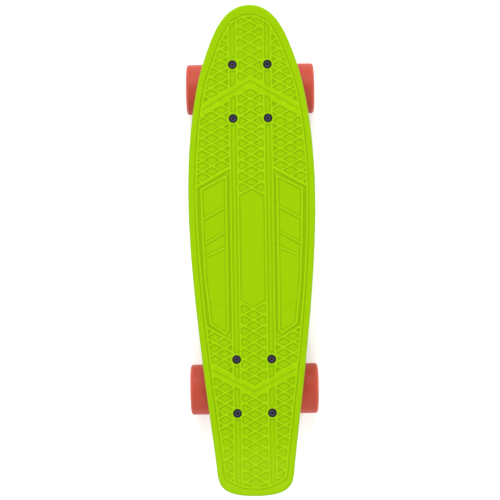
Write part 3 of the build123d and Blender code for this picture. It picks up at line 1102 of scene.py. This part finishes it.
    def crest(self, x: Array, y: Array) -> Array:
        """Marks the thin ridges for the painted highlight on their crests.

        Args:
            x: Places along the deck.
            y: Places to the side.

        Returns:
            1 on them, 0 elsewhere.
        """
        y = np.abs(y)
        field = self.field_distance(x, y)
        ridges = np.maximum(self.thin_ridges(x, y), -field)
        thin = np.minimum(ridges, np.abs(field) - self.ridge)
        return 1 - smooth_step((thin + 0.35) / 0.8)

    def foot(self, x: Array, y: Array) -> Array:
        """Marks the floor's strip beside each ridge for the painted shade, fainter towards the ends.

        Args:
            x: Places along the deck.
            y: Places to the side.

        Returns:
            1 in the strip, 0 elsewhere.
        """
        away = self.distance(x, y)
        strip = smooth_step((away - 0.2) / 0.7) * (1 - smooth_step((away - 1.1) / 1.3))
        nose_fade = self.nose_fade * smooth_step((x - self.fade_from) / self.fade_run)
        tail_fade = self.tail_fade * smooth_step((-x - self.fade_from) / self.fade_run)
        return strip * (1 - nose_fade - tail_fade)


@dataclass
class RibPattern:
    """Waffle of ribs under the deck, with solid pads over the trucks."""

    form: DeckForm
    rim: float = 6.0
    rib: float = 3.0
    lengthwise: float = 21.0
    crosswise: float = 30.0
    pad: Pair = (92.0, 64.0)
    pad_corner: float = 6.0
    corner: float = 1.6
    profile: tuple[Pair, ...] = (
        (-0.55, 12.0), (-0.16, 11.86), (0.0, 11.5), (0.45, 5.2), (0.8, 4.3), (1.5, 4.0),
    )

    def distance(self, x: Array, y: Array) -> Array:
        """Measures to the nearest rib, rim or pad.

        Args:
            x: Places along the deck.
            y: Places to the side.

        Returns:
            The distances, negative on it.
        """
        y = np.abs(y)
        nearest = self.lengthwise * np.clip(np.round(y / self.lengthwise), 0, 3)
        along = np.abs(y - nearest) - self.rib / 2
        across = np.abs(x - self.crosswise * np.round(x / self.crosswise)) - self.rib / 2
        rim = self.form.edge_distance(x, y) - self.rim
        solid = soft_min(soft_min(along, across, 2 * self.corner), rim, 2 * self.corner)
        for end in End:
            dx = np.abs(x - end.truck_x) - self.pad[0] / 2 + self.pad_corner
            dy = np.abs(y) - self.pad[1] / 2 + self.pad_corner
            outside = np.hypot(np.maximum(dx, 0), np.maximum(dy, 0))
            pad = outside + np.minimum(np.maximum(dx, dy), 0) - self.pad_corner
            solid = soft_min(solid, pad, 2 * self.corner)
        return solid

    def hollow(self, x: Array, y: Array) -> Array:
        """Depth of the underside below the deck's top."""
        steps = np.array(self.profile)
        return np.interp(self.distance(x, y), steps[:, 0], steps[:, 1])


def bolt_places() -> list[Pair]:
    """The eight mounting bolts' places on the deck."""
    along, across = 31.75, 20.65
    return [(end.truck_x + x * along, y * across) for end in End for x in (-1, 1) for y in (-1, 1)]


class Contours:
    """Level lines of a field on a grid."""

    def __init__(self, xs: Array, ys: Array, values: Array) -> None:
        """Holds the grid's columns and rows, and the field at [column, row]."""
        self.xs, self.ys, self.values = xs, ys, values

    def segments(self, level: float) -> tuple[Array, Array]:
        """Crossings of grid edges and the pairs of them that cells join.

        Args:
            level: The level.

        Returns:
            Points, and pairs of indices into them.
        """
        above = self.values > level
        nx, ny = above.shape
        number = np.full((2, nx, ny), -1)
        rows = []
        count = 0
        every, low, high = slice(None), slice(0, -1), slice(1, None)
        neighbours = (((low, every), (high, every)), ((every, low), (every, high)))
        for kind, (first, second) in enumerate(neighbours):
            crossed = above[first] != above[second]
            at = np.argwhere(crossed)
            a, b = self.values[first][crossed], self.values[second][crossed]
            share = (level - a) / (b - a)
            x, y = self.xs[at[:, 0]], self.ys[at[:, 1]]
            if kind == 0:
                x = x + share * (self.xs[at[:, 0] + 1] - x)
            else:
                y = y + share * (self.ys[at[:, 1] + 1] - y)
            number[kind, at[:, 0], at[:, 1]] = np.arange(count, count + len(at))
            rows.append(np.stack([x, y], 1))
            count += len(at)
        bottom, top = number[0][:-1, :-1], number[0][:-1, 1:]
        left, right = number[1][:-1, :-1], number[1][1:, :-1]
        sides = np.stack([bottom, right, top, left], -1).reshape(-1, 4)
        hits = (sides >= 0).sum(1)
        pairs = []
        two = sides[hits == 2]
        if len(two):
            order = np.argsort(two < 0, axis=1, kind="stable")[:, :2]
            pairs.append(np.take_along_axis(two, order, 1))
        four = sides[hits == 4]
        if len(four):
            pairs += [four[:, :2], four[:, 2:]]
        joined = np.concatenate(pairs) if pairs else np.zeros((0, 2), int)
        return np.concatenate(rows), joined

    def lines(self, level: float) -> list[Array]:
        """Joins a level's crossings into lines.

        Args:
            level: The level.

        Returns:
            The lines. A closed one has its first point again at the end.
        """
        points, pairs = self.segments(level)
        near: dict[int, list[int]] = {}
        for a, b in pairs.tolist():
            near.setdefault(a, []).append(b)
            near.setdefault(b, []).append(a)
        used: set[int] = set()
        found = []
        starts = [at for at, ends in near.items() if len(ends) == 1] + list(near)
        for start in starts:
            if start in used:
                continue
            run = [start]
            used.add(start)
            while True:
                ahead = [other for other in near[run[-1]] if other not in used]
                if not ahead:
                    break
                run.append(ahead[0])
                used.add(ahead[0])
            if len(near[start]) == 2 and len(run) > 2:
                run.append(start)
            found.append(points[run])
        return found


def thin_out(line: Array, tolerance: float) -> Array:
    """Leaves out a line's points that lie close to its chords.

    Args:
        line: The line.
        tolerance: The furthest that a left out point may lie from its chord.

    Returns:
        The thinner line.
    """
    keep = np.zeros(len(line), bool)
    keep[[0, -1]] = True
    jobs = [(0, len(line) - 1)]
    if len(line) > 3 and np.allclose(line[0], line[-1]):
        middle = int(np.argmax(np.linalg.norm(line - line[0], axis=1)))
        keep[middle] = True
        jobs = [(0, middle), (middle, len(line) - 1)]
    while jobs:
        low, high = jobs.pop()
        if high - low < 2:
            continue
        chord = line[high] - line[low]
        size = math.hypot(*chord)
        rest = line[low + 1 : high] - line[low]
        off = np.hypot(*rest.T)
        if size > 1e-9:
            off = np.abs(rest[:, 0] * chord[1] - rest[:, 1] * chord[0]) / size
        worst = int(np.argmax(off))
        if off[worst] > tolerance:
            middle = low + 1 + worst
            keep[middle] = True
            jobs += [(low, middle), (middle, high)]
    return line[keep]


Field = Callable[[Array, Array], Array]


@dataclass
class Deck:
    """One-piece deck: relief on top, ribs below, rounded edge and eight countersunk holes."""

    form: DeckForm = field(default_factory=DeckForm)
    top_round: float = 3.2
    bottom_round: float = 2.4
    round_steps: int = 5
    hole_profile: tuple[Pair, ...] = (
        (5.5, 0.0), (5.34, 0.14), (5.3, 0.7), (2.7, 3.7), (2.7, 11.7), (3.0, 12.0),
    )
    cone_foot: float = 4.0
    hole_segments: int = 32
    cell: float = 0.5
    tolerance: float = 0.035
    flat_edge: float = 7.0
    bent_edge: float = 3.2
    step: float = 0.05
    slack: float = 0.002
    bolt_clear: float = 7.5
    shortest: int = 5
    join: float = 1e-4

    def __post_init__(self) -> None:
        """Makes the two patterns on this form."""
        self.relief = ReliefPattern(self.form)
        self.ribs = RibPattern(self.form)

    def is_bent(self, x: float) -> bool:
        """Whether a place along the deck lies past either bend."""
        return x < self.form.tail_bend[0] or x > self.form.nose_bend[0]

    def split(self, line: Array) -> Array:
        """Divides a line's long edges, finer past the bends.

        Args:
            line: The line.

        Returns:
            The line with more points.
        """
        parts = [line[:1]]
        for a, b in zip(line[:-1], line[1:]):
            bent = self.is_bent(a[0]) or self.is_bent(b[0])
            limit = self.bent_edge if bent else self.flat_edge
            count = max(1, math.ceil(math.hypot(*(b - a)) / limit))
            parts.append(a + (b - a) * (np.arange(1, count + 1) / count)[:, None])
        return np.concatenate(parts)

    def circle(self, x: float, y: float, radius: float) -> Array:
        """Draws a ring round a bolt hole.

        Args:
            x: The hole's place along the deck.
            y: Its place to the side.
            radius: The ring's radius.

        Returns:
            The ring, its first point again at the end.
        """
        angle = np.linspace(0, 2 * math.pi, self.hole_segments, endpoint=False)
        ring = single(np.stack([x + radius * np.cos(angle), y + radius * np.sin(angle)], 1))
        return np.concatenate([ring, ring[:1]])

    def fill_points(self, distance: Field, inset: float, keep_off: Pair) -> Array:
        """Loose points that keep the flat stretches' triangles even.

        Args:
            distance: The pattern's distance field.
            inset: How far they stay from the plan's edge.
            keep_off: Distances between which none is placed, to stay clear of slopes.

        Returns:
            The points.
        """
        rows = []
        for spacing, bent in ((9.0, False), (3.4, True)):
            columns, rungs = np.arange(-288, 289, spacing), np.arange(1.4, 76, spacing)
            x, y = (grid.ravel() for grid in np.meshgrid(columns, rungs, indexing="ij"))
            past = (x < self.form.tail_bend[0]) | (x > self.form.nose_bend[0])
            away = distance(x, y)
            free = (away < keep_off[0]) | (away > keep_off[1])
            clear = self.relief.bolt_distance(x, y) > self.bolt_clear
            inside = self.form.edge_distance(x, y) > inset + 1.2
            good = (past == bent) & free & clear & inside
            rows.append(np.stack([x[good], y[good]], 1))
        return np.concatenate(rows)

    def triangles(self, lines: list[Array], loose: Array) -> tuple[Array, list[tuple[int, ...]]]:
        """Triangulates the left half of the plan along given lines.

        Args:
            lines: Lines that the triangles' edges follow, the half's own border first.
            loose: Further points.

        Returns:
            Points and triangles.
        """
        points: list[Pair] = []
        edges: list[tuple[int, int]] = []
        for line in lines:
            start = len(points)
            closed = len(line) > 3 and np.allclose(line[0], line[-1])
            body = line[:-1] if closed else line
            points += [tuple(point) for point in body.tolist()]
            edges += [(start + at, start + at + 1) for at in range(len(body) - 1)]
            if closed:
                edges.append((len(points) - 1, start))
        points += [tuple(point) for point in loose.tolist()]
        corners = [Vector(point) for point in points]
        made = delaunay_2d_cdt(corners, edges, [], 1, self.join, False)
        return np.array([tuple(point) for point in made[0]], float), [tuple(face) for face in made[2]]

    def is_solid(self, corners: Array, border: Array, hole: float) -> Array:
        """Which triangles lie inside the border and clear of the bolt holes.

        Args:
            corners: The triangles' corners.
            border: The half's closed border.
            hole: Radius of the bolt holes.

        Returns:
            True for each triangle that belongs to the deck.
        """
        middle = corners.mean(1)
        outline = [tuple(point) for point in border[:-1]]
        inside = polygon_distance(middle[:, 0], middle[:, 1], outline) < 0
        away = self.relief.bolt_distance(corners[:, :, 0], corners[:, :, 1])
        return inside & ~(away < hole + self.slack).all(1)

    def sheet(
        self,
        work: Patchwork,
        distance: Field,
        hollow: Field,
        lines: list[Array],
        keep_off: Pair,
        inset: float,
        hole: float,
        facing: float,
    ) -> None:
        """Adds the top or the underside, both halves.

        Args:
            work: The mesh that takes it.
            distance: The pattern's distance field.
            hollow: Depth of the surface below the deck's top.
            lines: The pattern's level lines on the left half.
            keep_off: Distances between which no loose point is placed.
            inset: How far its border lies in from the plan's edge.
            hole: Radius of the bolt holes in it.
            facing: 1 for the top, -1 for the underside.
        """
        border = self.form.half_outline(inset)
        rings = [self.circle(x, y, hole) for x, y in bolt_places() if y > 0]
        middle_line = single(self.split(np.array([border[-1], border[0]])))
        closed = np.concatenate([border, middle_line[1:]])
        loose = self.fill_points(distance, inset, keep_off)
        split_lines = [self.split(line) for line in lines]
        points, faces = self.triangles([closed, *rings, *split_lines], loose)
        x, y = points[:, 0], np.where(np.abs(points[:, 1]) < 1e-5, 0.0, points[:, 1])
        solid = self.is_solid(points[np.array(faces)], closed, hole)
        faces = [face for face, kept in zip(faces, solid) if kept]

        def level(at_x: Array, at_y: Array) -> Array:
            """Height of the surface over a place."""
            return self.form.height(at_x, hollow(at_x, at_y))

        slope_x = (level(x + self.step, y) - level(x - self.step, y)) / (2 * self.step)
        slope_y = (level(x, y + self.step) - level(x, y - self.step)) / (2 * self.step)
        height = level(x, y)
        top = facing > 0
        # painted highlight on the crests and painted shade beside the ridges, on the top only
        crest = self.relief.crest(x, y) if top else np.zeros(len(x))
        foot = self.relief.foot(x, y) if top else np.zeros(len(x))
        for sign in (1.0, -1.0):
            normals = np.stack([-slope_x * facing, -slope_y * facing * sign, np.full(len(x), facing)], 1)
            outwards = faces if facing * sign > 0 else [face[::-1] for face in faces]
            places = np.stack([x, y * sign, height], 1)
            # the crest and hollow marks carry the painted highlight and the painted shade
            work.add(places, outwards, normals, top, wound=True, crest=crest, hollow=foot)

    def pattern_lines(self, distance: Field, levels: tuple[float, ...]) -> list[Array]:
        """A pattern's level lines on the left half, thinned.

        Args:
            distance: The pattern's distance field.
            levels: The levels.

        Returns:
            The lines.
        """
        xs = np.arange(-290, 290.01, self.cell)
        ys = np.arange(0, 76.01, self.cell)
        gx, gy = np.meshgrid(xs, ys, indexing="ij")
        grid = Contours(xs, ys, distance(gx, gy))
        lines = []
        for level in levels:
            for line in grid.lines(level):
                if len(line) > self.shortest:
                    lines.append(single(thin_out(line, self.tolerance)))
        return lines

    def edge(self, work: Patchwork) -> None:
        """Adds the rounded edge all round the deck.

        Args:
            work: The mesh that takes it.
        """
        rows, steps, radius = [], range(self.round_steps + 1), self.top_round
        for at in steps:
            angle = math.radians(90) * (1 - at / self.round_steps)
            rows.append((radius * (1 - math.cos(angle)), radius * (1 - math.sin(angle)), angle))
        radius = self.bottom_round
        for at in steps:
            angle = math.radians(90) * at / self.round_steps
            depth = self.form.thickness - radius * (1 - math.sin(angle))
            rows.append((radius * (1 - math.cos(angle)), depth, -angle))
        points, normals = [], []
        for inset, depth, angle in rows:
            line = self.form.half_outline(inset)
            whole = np.concatenate([line, line[-2:0:-1] * (1, -1)])
            ahead = np.roll(whole, -1, 0) - np.roll(whole, 1, 0)
            out = unit(np.stack([ahead[:, 1], -ahead[:, 0]], 1))
            x = whole[:, 0]
            after, before = (self.form.height(x + way, depth) for way in (self.step, -self.step))
            fall = (after - before) / (2 * self.step)
            up = unit(np.stack([-fall, 0 * fall, 1 + 0 * fall], 1))
            points.append(np.stack([x, whole[:, 1], self.form.height(x, depth)], 1))
            normals.append(np.pad(out, ((0, 0), (0, 1))) * math.cos(angle) + up * math.sin(angle))
        faces = strips(list(range(len(rows) - 1)), len(points[0]))
        work.add(np.concatenate(points), faces, np.concatenate(normals))

    def hole(self, work: Patchwork, x: float, y: float) -> None:
        """Adds one bolt hole's wall.

        Args:
            work: The mesh that takes it.
            x: Its place along the deck.
            y: Its place to the side.
        """
        points, normals, third = [], [], ((0, 0), (0, 1))
        for radius, depth in self.hole_profile:
            ring = self.circle(x, abs(y), radius)[:-1]
            inward = unit(np.array([x, abs(y)]) - ring)
            up = 0.5 if depth < self.cone_foot else 0.0
            points.append(np.pad(ring, third, constant_values=self.form.top_z - depth))
            normals.append(np.pad(inward, third, constant_values=up))
        faces = strips(list(range(len(self.hole_profile) - 1)), self.hole_segments)
        side = np.array([1.0, math.copysign(1.0, y), 1.0])
        work.add(np.concatenate(points) * side, faces, np.concatenate(normals) * side, exact=False)

    def build(self, dresser: Dresser) -> None:
        """Makes the deck.

        Args:
            dresser: Puts the finish on.
        """
        work = Patchwork()
        relief, ribs = self.relief, self.ribs
        lines = self.pattern_lines(relief.distance, relief.levels)
        lines += self.pattern_lines(relief.plateau_distance, relief.plateau_levels)
        lines += self.pattern_lines(relief.lozenge_distance, relief.lozenge_levels)
        upper, lower = self.hole_profile[0][0], self.hole_profile[-1][0]
        self.sheet(
            work, relief.distance, relief.hollow, lines, (-1.2, 3.0), self.top_round, upper, 1.0
        )
        lines = self.pattern_lines(ribs.distance, tuple(level for level, _ in ribs.profile))
        self.sheet(
            work, ribs.distance, ribs.hollow, lines, (-1.3, 2.4), self.bottom_round, lower, -1.0
        )
        self.edge(work)
        for x, y in bolt_places():
            self.hole(work, x, y)
        hand_over(work.sew("deck_moulding"), "board", "deck", Finish.DECK, dresser)


# ------------------------------------------------------------------ fasteners


@dataclass
class Fasteners:
    """The four bolts through the deck at one truck, with dished heads and key sockets."""

    end: End
    head_top: float = 91.7
    head_radius: float = 5.0
    head_height: float = 3.0
    dish_radius: float = 2.9
    dish_depth: float = 0.8
    key_radius: float = 1.6
    key_depth: float = 2.0
    shank: float = 2.4
    length: float = 25.4
    thread_end: float = 11.0
    flat: float = 0.94
    near: float = 60.0
    segments: int = 48

    def keyed(self, radius: Array, height: Array, angle: Array) -> tuple[Array, Array]:
        """Makes the socket in the head six-sided.

        Args:
            radius: The points' distances from the axis.
            height: Their heights along it.
            angle: Their angles round it.

        Returns:
            The new distances and heights.
        """
        wedge = np.mod(angle, math.pi / 3) - math.pi / 6
        flats = np.where(radius <= self.key_radius + 0.01, self.flat / np.cos(wedge), 1.0)
        return radius * np.where(height > -self.head_height, flats, 1.0), height

    def bare(self, radius: Array, height: Array) -> Array:
        """Where the blacking has gone from the dish round the socket."""
        worn = (radius < self.dish_radius) & (radius > 1.2)
        return (worn & (height > -self.dish_depth * 1.2)).astype(float)

    def build(self, dresser: Dresser) -> None:
        """Makes the bolts and dresses the nuts below.

        Args:
            dresser: Puts the finishes on.
        """
        outline: list[Corner] = [(0.0, -self.length), (self.shank - 0.5, -self.length)]
        outline += thread(self.shank, 0.3, 0.8, -self.length + 0.5, -self.thread_end)
        outline += [
            (self.shank, 0.4 - self.thread_end),
            (self.shank, -self.head_height),
            (self.head_radius, -0.42, 0.08),
            (self.head_radius, 0.0, 0.3),
            (self.dish_radius + 0.35, 0.0, 0.2),
            (self.dish_radius, -self.dish_depth, 0.3),
            (self.key_radius, -self.dish_depth),
            (self.key_radius, -self.key_depth),
            (0.0, -self.key_depth),
        ]
        work = Patchwork()
        for x, y in bolt_places():
            if abs(x - self.end.truck_x) < self.near:
                stand = Frame((x, y, self.head_top))
                turned(work, outline, stand, self.segments, False, 3, self.keyed, self.bare)
        label = self.end.label
        bolts = work.sew(f"{label}_deck_bolts")
        hand_over(bolts, "board", f"{label}_mounting_bolts", Finish.BOLT, dresser)
        dresser.dress_node(f"{label}_mounting_nuts", Finish.STEEL)


# ------------------------------------------------------------------ wheels


@dataclass
class Wheel:
    """One wheel: domed urethane tread on a ribbed hub, over the CAD's bearings."""

    end: End
    side: Side
    radius: float = 30.0
    half_width: float = 22.5
    side_fall: float = 1.6
    shoulder: float = 3.2
    recess: float = 15.0
    hub_radius: float = 16.5
    hub_half: float = 12.0
    seat_radius: float = 11.0
    web_radius: float = 9.6
    web_half: float = 5.0
    hub_ribs: int = 12
    rib_drop: float = 0.5
    pocket: Triple = (12.4, 14.7, 2.6)
    centre_y: float = 54.25
    axle_x: float = 6.0
    axle_z: float = 30.0
    segments: int = 144

    def stand(self) -> Frame:
        """The wheel's middle, with its axis outwards."""
        x = self.end.truck_x + self.end.outboard * self.axle_x
        return Frame((x, self.side.sign * self.centre_y, self.axle_z), (0.0, self.side.sign, 0.0))

    def tread(self) -> bpy.types.Object:
        """Turns the urethane: crisp shoulders, a shallow ring line and a recess on each side.

        Returns:
            The tread.
        """
        half, fall = self.half_width, self.side_fall
        face: list[Corner] = [
            (self.recess, self.hub_half),
            (self.recess, half - 2.2, 0.8),
            (self.recess + 2.6, half, 1.6),
            (19.6, half - 0.05),
            (19.9, half - 0.4, 0.2),
            (20.6, half - 0.45, 0.2),
            (20.9, half - 0.12),
            (25.2, half - 0.5, 16.0),
            (self.radius, half - fall, self.shoulder),
        ]
        bore = [(self.hub_radius, self.hub_half), (self.hub_radius, -self.hub_half)]
        outline = mirrored(face) + face[::-1] + bore
        work = Patchwork()
        turned(work, outline, self.stand(), self.segments, True, 6)
        return work.sew(f"{self.end.label}_{self.side.label}_tread")

    def ribbed(self, radius: Array, height: Array, angle: Array) -> tuple[Array, Array]:
        """Raises the ribs between the hub's pockets.

        Args:
            radius: The points' distances from the axis.
            height: Their heights along it.
            angle: Their angles round it.

        Returns:
            The new distances and heights.
        """
        wave = np.cos(angle * self.hub_ribs)
        rib = smooth_step((wave - 0.72) / 0.16)
        inner, outer, depth = self.pocket
        top, away = self.hub_half - self.rib_drop, np.abs(height)
        inside = (radius > inner - 0.35) & (radius < outer + 0.35) & (away < top)
        inside &= away > self.hub_half - depth - 0.1
        lifted = np.sign(height) * (away + (top - away) * rib)
        return radius, np.where(inside, lifted, height)

    def hub(self) -> bpy.types.Object:
        """Turns the hard core, with pockets between ribs in both faces.

        Returns:
            The hub.
        """
        half = self.hub_half
        inner, outer, depth = self.pocket
        face: list[Corner] = [
            (self.web_radius, self.web_half),
            (self.seat_radius, self.web_half),
            (self.seat_radius, half, 0.4),
            (inner - 0.2, half, 0.25),
            (inner, half - 0.6),
            (inner + 0.15, half - depth, 0.3),
            (outer - 0.15, half - depth, 0.3),
            (outer, half - 0.6),
            (outer + 0.2, half, 0.25),
            (self.hub_radius, half),
        ]
        work = Patchwork()
        outline = mirrored(face) + face[::-1]
        turned(work, outline, self.stand(), self.segments, True, 3, self.ribbed)
        return work.sew(f"{self.end.label}_{self.side.label}_hub")

    def build(self, dresser: Dresser) -> None:
        """Makes the tread and hub and dresses the bearings.

        Args:
            dresser: Puts the finishes on.
        """
        corner = f"{self.end.label}_{self.side.label}"
        hand_over(self.tread(), f"{corner}_wheel", f"{corner}_tyre", Finish.WHEEL, dresser)
        hand_over(self.hub(), f"{corner}_wheel", f"{corner}_core", Finish.CORE, dresser)
        for part in ("outer_races", "inner_races", "balls"):
            dresser.dress_node(f"{corner}_{part}", Finish.BEARING)
        dresser.dress_node(f"{corner}_shields", Finish.SHIELD)
        dresser.dress_node(f"{corner}_spacer", Finish.STEEL)


# ------------------------------------------------------------------ trucks


@dataclass
class Truck:
    """One truck: cast baseplate and hanger, threaded axle, two urethane bushings and plated fittings."""

    end: End
    kingpin_lean: float = 22.0
    kingpin_foot: float = 1.0
    deck_underside: float = 80.0
    bushing_bore: float = 4.9
    bushing_radius: float = 12.0
    board_bushing: Pair = (18.5, 32.0)
    road_bushing: Pair = (41.0, 51.5)
    road_tip: float = 9.6
    axle_radius: float = 4.0
    axle_half: float = 75.0
    axle_x: float = 6.0
    axle_z: float = 30.0
    thread_start: float = 66.5
    thread_form: Pair = (0.45, 1.0)
    voxel: float = 0.8
    softening: int = 5

    @property
    def body(self) -> str:
        """The body that leans with the wheels."""
        return f"{self.end.label}_truck"

    def kingpin(self) -> Frame:
        """Works out where the kingpin stands.

        Returns:
            Its foot in the baseplate and its direction down.
        """
        lean = math.radians(self.kingpin_lean)
        out = self.end.outboard
        foot = (self.end.truck_x + out * self.kingpin_foot, 0.0, self.deck_underside)
        return Frame(foot, (-out * math.sin(lean), 0.0, -math.cos(lean)))

    def along_kingpin(self, distance: float) -> Triple:
        """A point down the kingpin, in metres."""
        stand = self.kingpin()
        return tuple((start + step * distance) * MM for start, step in zip(stand.origin, stand.axis))

    def bushing(self, name: str, outline: list[Corner], span: Pair, dresser: Dresser) -> None:
        """Makes one bushing, which rides on the board between the board and the hanger.

        Args:
            name: The CAD node that it replaces.
            outline: Its section.
            span: Distances down the kingpin of its board end and of its hanger end.
            dresser: Puts the finish on.
        """
        work = Patchwork()
        turned(work, outline, self.kingpin(), 72, True, 6)
        piece = work.sew(f"{name}_rubber")
        dresser.dress(piece, Finish.BUSHING)
        still, moving = (self.along_kingpin(distance) for distance in span)
        self.body
        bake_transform(piece)
        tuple(still)
        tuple(moving)
        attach(piece, "board")
        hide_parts(name)
        Finish.BUSHING.slot
        log.info("%s: %d faces, bends to %s", piece.name, len(piece.data.polygons), self.body)

    def bushings(self, dresser: Dresser) -> None:
        """Makes both bushings.

        Args:
            dresser: Puts the finish on.
        """
        bore, radius, label = self.bushing_bore, self.bushing_radius, self.end.label
        top, foot = self.board_bushing
        waist = radius - 0.5
        upper: list[Corner] = [(bore, top), (waist, top, 1.5), (radius, top + 4)]
        lower: list[Corner] = [(radius, foot - 4), (waist, foot, 1.5), (bore, foot)]
        self.bushing(f"{label}_board_bushing", upper + lower, (top, foot), dresser)
        top, foot = self.road_bushing
        upper = [(bore, top), (radius, top, 1.3), (radius, top + 3.4, 2.0)]
        lower = [(self.road_tip, foot, 1.4), (bore, foot)]
        self.bushing(f"{label}_road_bushing", upper + lower, (foot, top), dresser)

    def casting(self, node: str, body: str, dresser: Dresser) -> None:
        """Makes a cast part from its CAD shape, its corners softened as a mould leaves them.

        Args:
            node: The CAD node.
            body: The body that it rides on.
            dresser: Puts the finish on.
        """
        made = bpy.data.objects.new(f"{node}_casting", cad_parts[node].data.copy())
        bpy.context.scene.collection.objects.link(made)
        remesh = made.modifiers.new("remesh", "REMESH")
        remesh.mode = "VOXEL"
        remesh.voxel_size = self.voxel * MM
        remesh.use_smooth_shade = True
        soften = made.modifiers.new("soften", "SMOOTH")
        soften.factor = 0.5
        soften.iterations = self.softening
        evaluated = made.evaluated_get(bpy.context.evaluated_depsgraph_get())
        final = bpy.data.meshes.new_from_object(evaluated)
        made.modifiers.clear()
        made.data = final
        hand_over(made, body, node, Finish.CAST, dresser)

    def axle(self, dresser: Dresser) -> None:
        """Makes the axle, with a thread at each end.

        Args:
            dresser: Puts the finish on.
        """
        end, radius = self.axle_half, self.axle_radius
        half: list[Corner] = [(radius, self.thread_start - 0.5)]
        half += thread(radius, *self.thread_form, self.thread_start, end - 0.5)
        half += [(radius - 0.6, end), (0.0, end)]
        work = Patchwork()
        place = (self.end.truck_x + self.end.outboard * self.axle_x, 0.0, self.axle_z)
        turned(work, mirrored(half[::-1]) + half, Frame(place, (0.0, 1.0, 0.0)), 56, False)
        label = self.end.label
        axle = work.sew(f"{label}_threaded_axle")
        hand_over(axle, self.body, f"{label}_axle", Finish.STEEL, dresser)

    def build(self, dresser: Dresser) -> None:
        """Makes the castings, axle and bushings and dresses the fittings.

        Args:
            dresser: Puts the finishes on.
        """
        label = self.end.label
        self.casting(f"{label}_baseplate", "board", dresser)
        self.casting(f"{label}_hanger", self.body, dresser)
        self.axle(dresser)
        self.bushings(dresser)
        dresser.dress_node(f"{label}_pivot_cup", Finish.PIVOT)
        fittings = ("kingpin", "kingpin_nut", "board_washer", "road_washer")
        for part in (*fittings, "axle_nuts", "axle_washers"):
            dresser.dress_node(f"{label}_{part}", Finish.STEEL)


# ------------------------------------------------------------------ studio


@dataclass
class Studio:
    """Pale floor, soft lights and the camera overhead."""

    camera_height: float = 3.5
    lens: float = 208.0
    turn: float = -90.85
    aim: Pair = (0.0, 0.003)
    floor_half: float = 3.6
    sky: float = 1.2
    zenith: float = 0.15
    sky_turn: Pair = (0.7, 0.95)
    lamp_size: float = 1.8
    lamps: tuple[tuple[str, Triple, float], ...] = (
        ("nose_softbox", (2.4, 0.3, 2.5), 78.0),
        ("tail_softbox", (-2.4, -0.3, 2.5), 26.0),
        ("left_softbox", (0.1, 2.4, 2.5), 27.0),
        ("right_softbox", (0.1, -2.4, 2.5), 27.0),
    )

    def floor(self) -> None:
        """Lays the floor."""
        half = self.floor_half
        corners = [(-half, -half, 0), (half, -half, 0), (half, half, 0), (-half, half, 0)]
        mesh = bpy.data.meshes.new("studio_floor")
        mesh.from_pydata(corners, [], [(0, 1, 2, 3)])
        mesh.materials.append(StudioPaper().material())
        made = bpy.data.objects.new("studio_floor", mesh)
        bpy.context.scene.collection.objects.link(made)

    def light(self, name: str, place: Triple, power: float) -> None:
        """Hangs one soft lamp that points at the board.

        Args:
            name: The lamp's name.
            place: Where it hangs, in metres.
            power: Its power, in watts.
        """
        lamp = bpy.data.lights.new(name, "AREA")
        lamp.shape = "SQUARE"
        lamp.size = self.lamp_size
        lamp.energy = power
        made = bpy.data.objects.new(name, lamp)
        made.location = place
        made.rotation_euler = (-Vector(place)).to_track_quat("-Z", "Y").to_euler()
        made.visible_camera = False
        bpy.context.scene.collection.objects.link(made)

    def lights(self) -> None:
        """Hangs every lamp and sets the sky."""
        for lamp in self.lamps:
            self.light(*lamp)
        sky = Graph(bpy.data.worlds.new("studio_sky"))
        direction = sky.node("ShaderNodeTexCoord", output="Generated")
        height = sky.node("ShaderNodeSeparateXYZ", inputs={"Vector": direction}, output="Z")
        strength = self.sky - (self.sky - self.zenith) * height.smooth(*self.sky_turn)
        white = (1.0, 1.0, 1.0, 1.0)
        glow = sky.node("ShaderNodeBackground", inputs={"Color": white, "Strength": strength})
        sky.node("ShaderNodeOutputWorld", inputs={"Surface": glow})
        bpy.context.scene.world = sky.owner
        bpy.context.scene.view_settings.view_transform = "Standard"

    def camera(self) -> None:
        """Sets the camera straight above the board."""
        lens = bpy.data.cameras.new("camera")
        lens.sensor_width = 36.0
        lens.lens = self.lens
        made = bpy.data.objects.new("camera", lens)
        made.location = (*self.aim, self.camera_height)
        made.rotation_euler = Euler((0.0, 0.0, math.radians(self.turn)))
        bpy.context.scene.collection.objects.link(made)
        bpy.context.scene.camera = made

    def build(self) -> None:
        """Makes the whole studio."""
        self.camera()
        self.lights()
        self.floor()
        log.info("studio: %d lamps, floor, sky and camera", len(self.lamps))


def main() -> None:
    """Builds the board, its trucks and wheels and the studio, in that order."""
    logging.basicConfig(level=logging.INFO, format="%(name)s: %(message)s")
    dresser = Dresser()
    Deck().build(dresser)
    for end in End:
        Fasteners(end).build(dresser)
        Truck(end).build(dresser)
        for side in Side:
            Wheel(end, side).build(dresser)
    Studio().build()


if __name__ == "__main__":
    main()
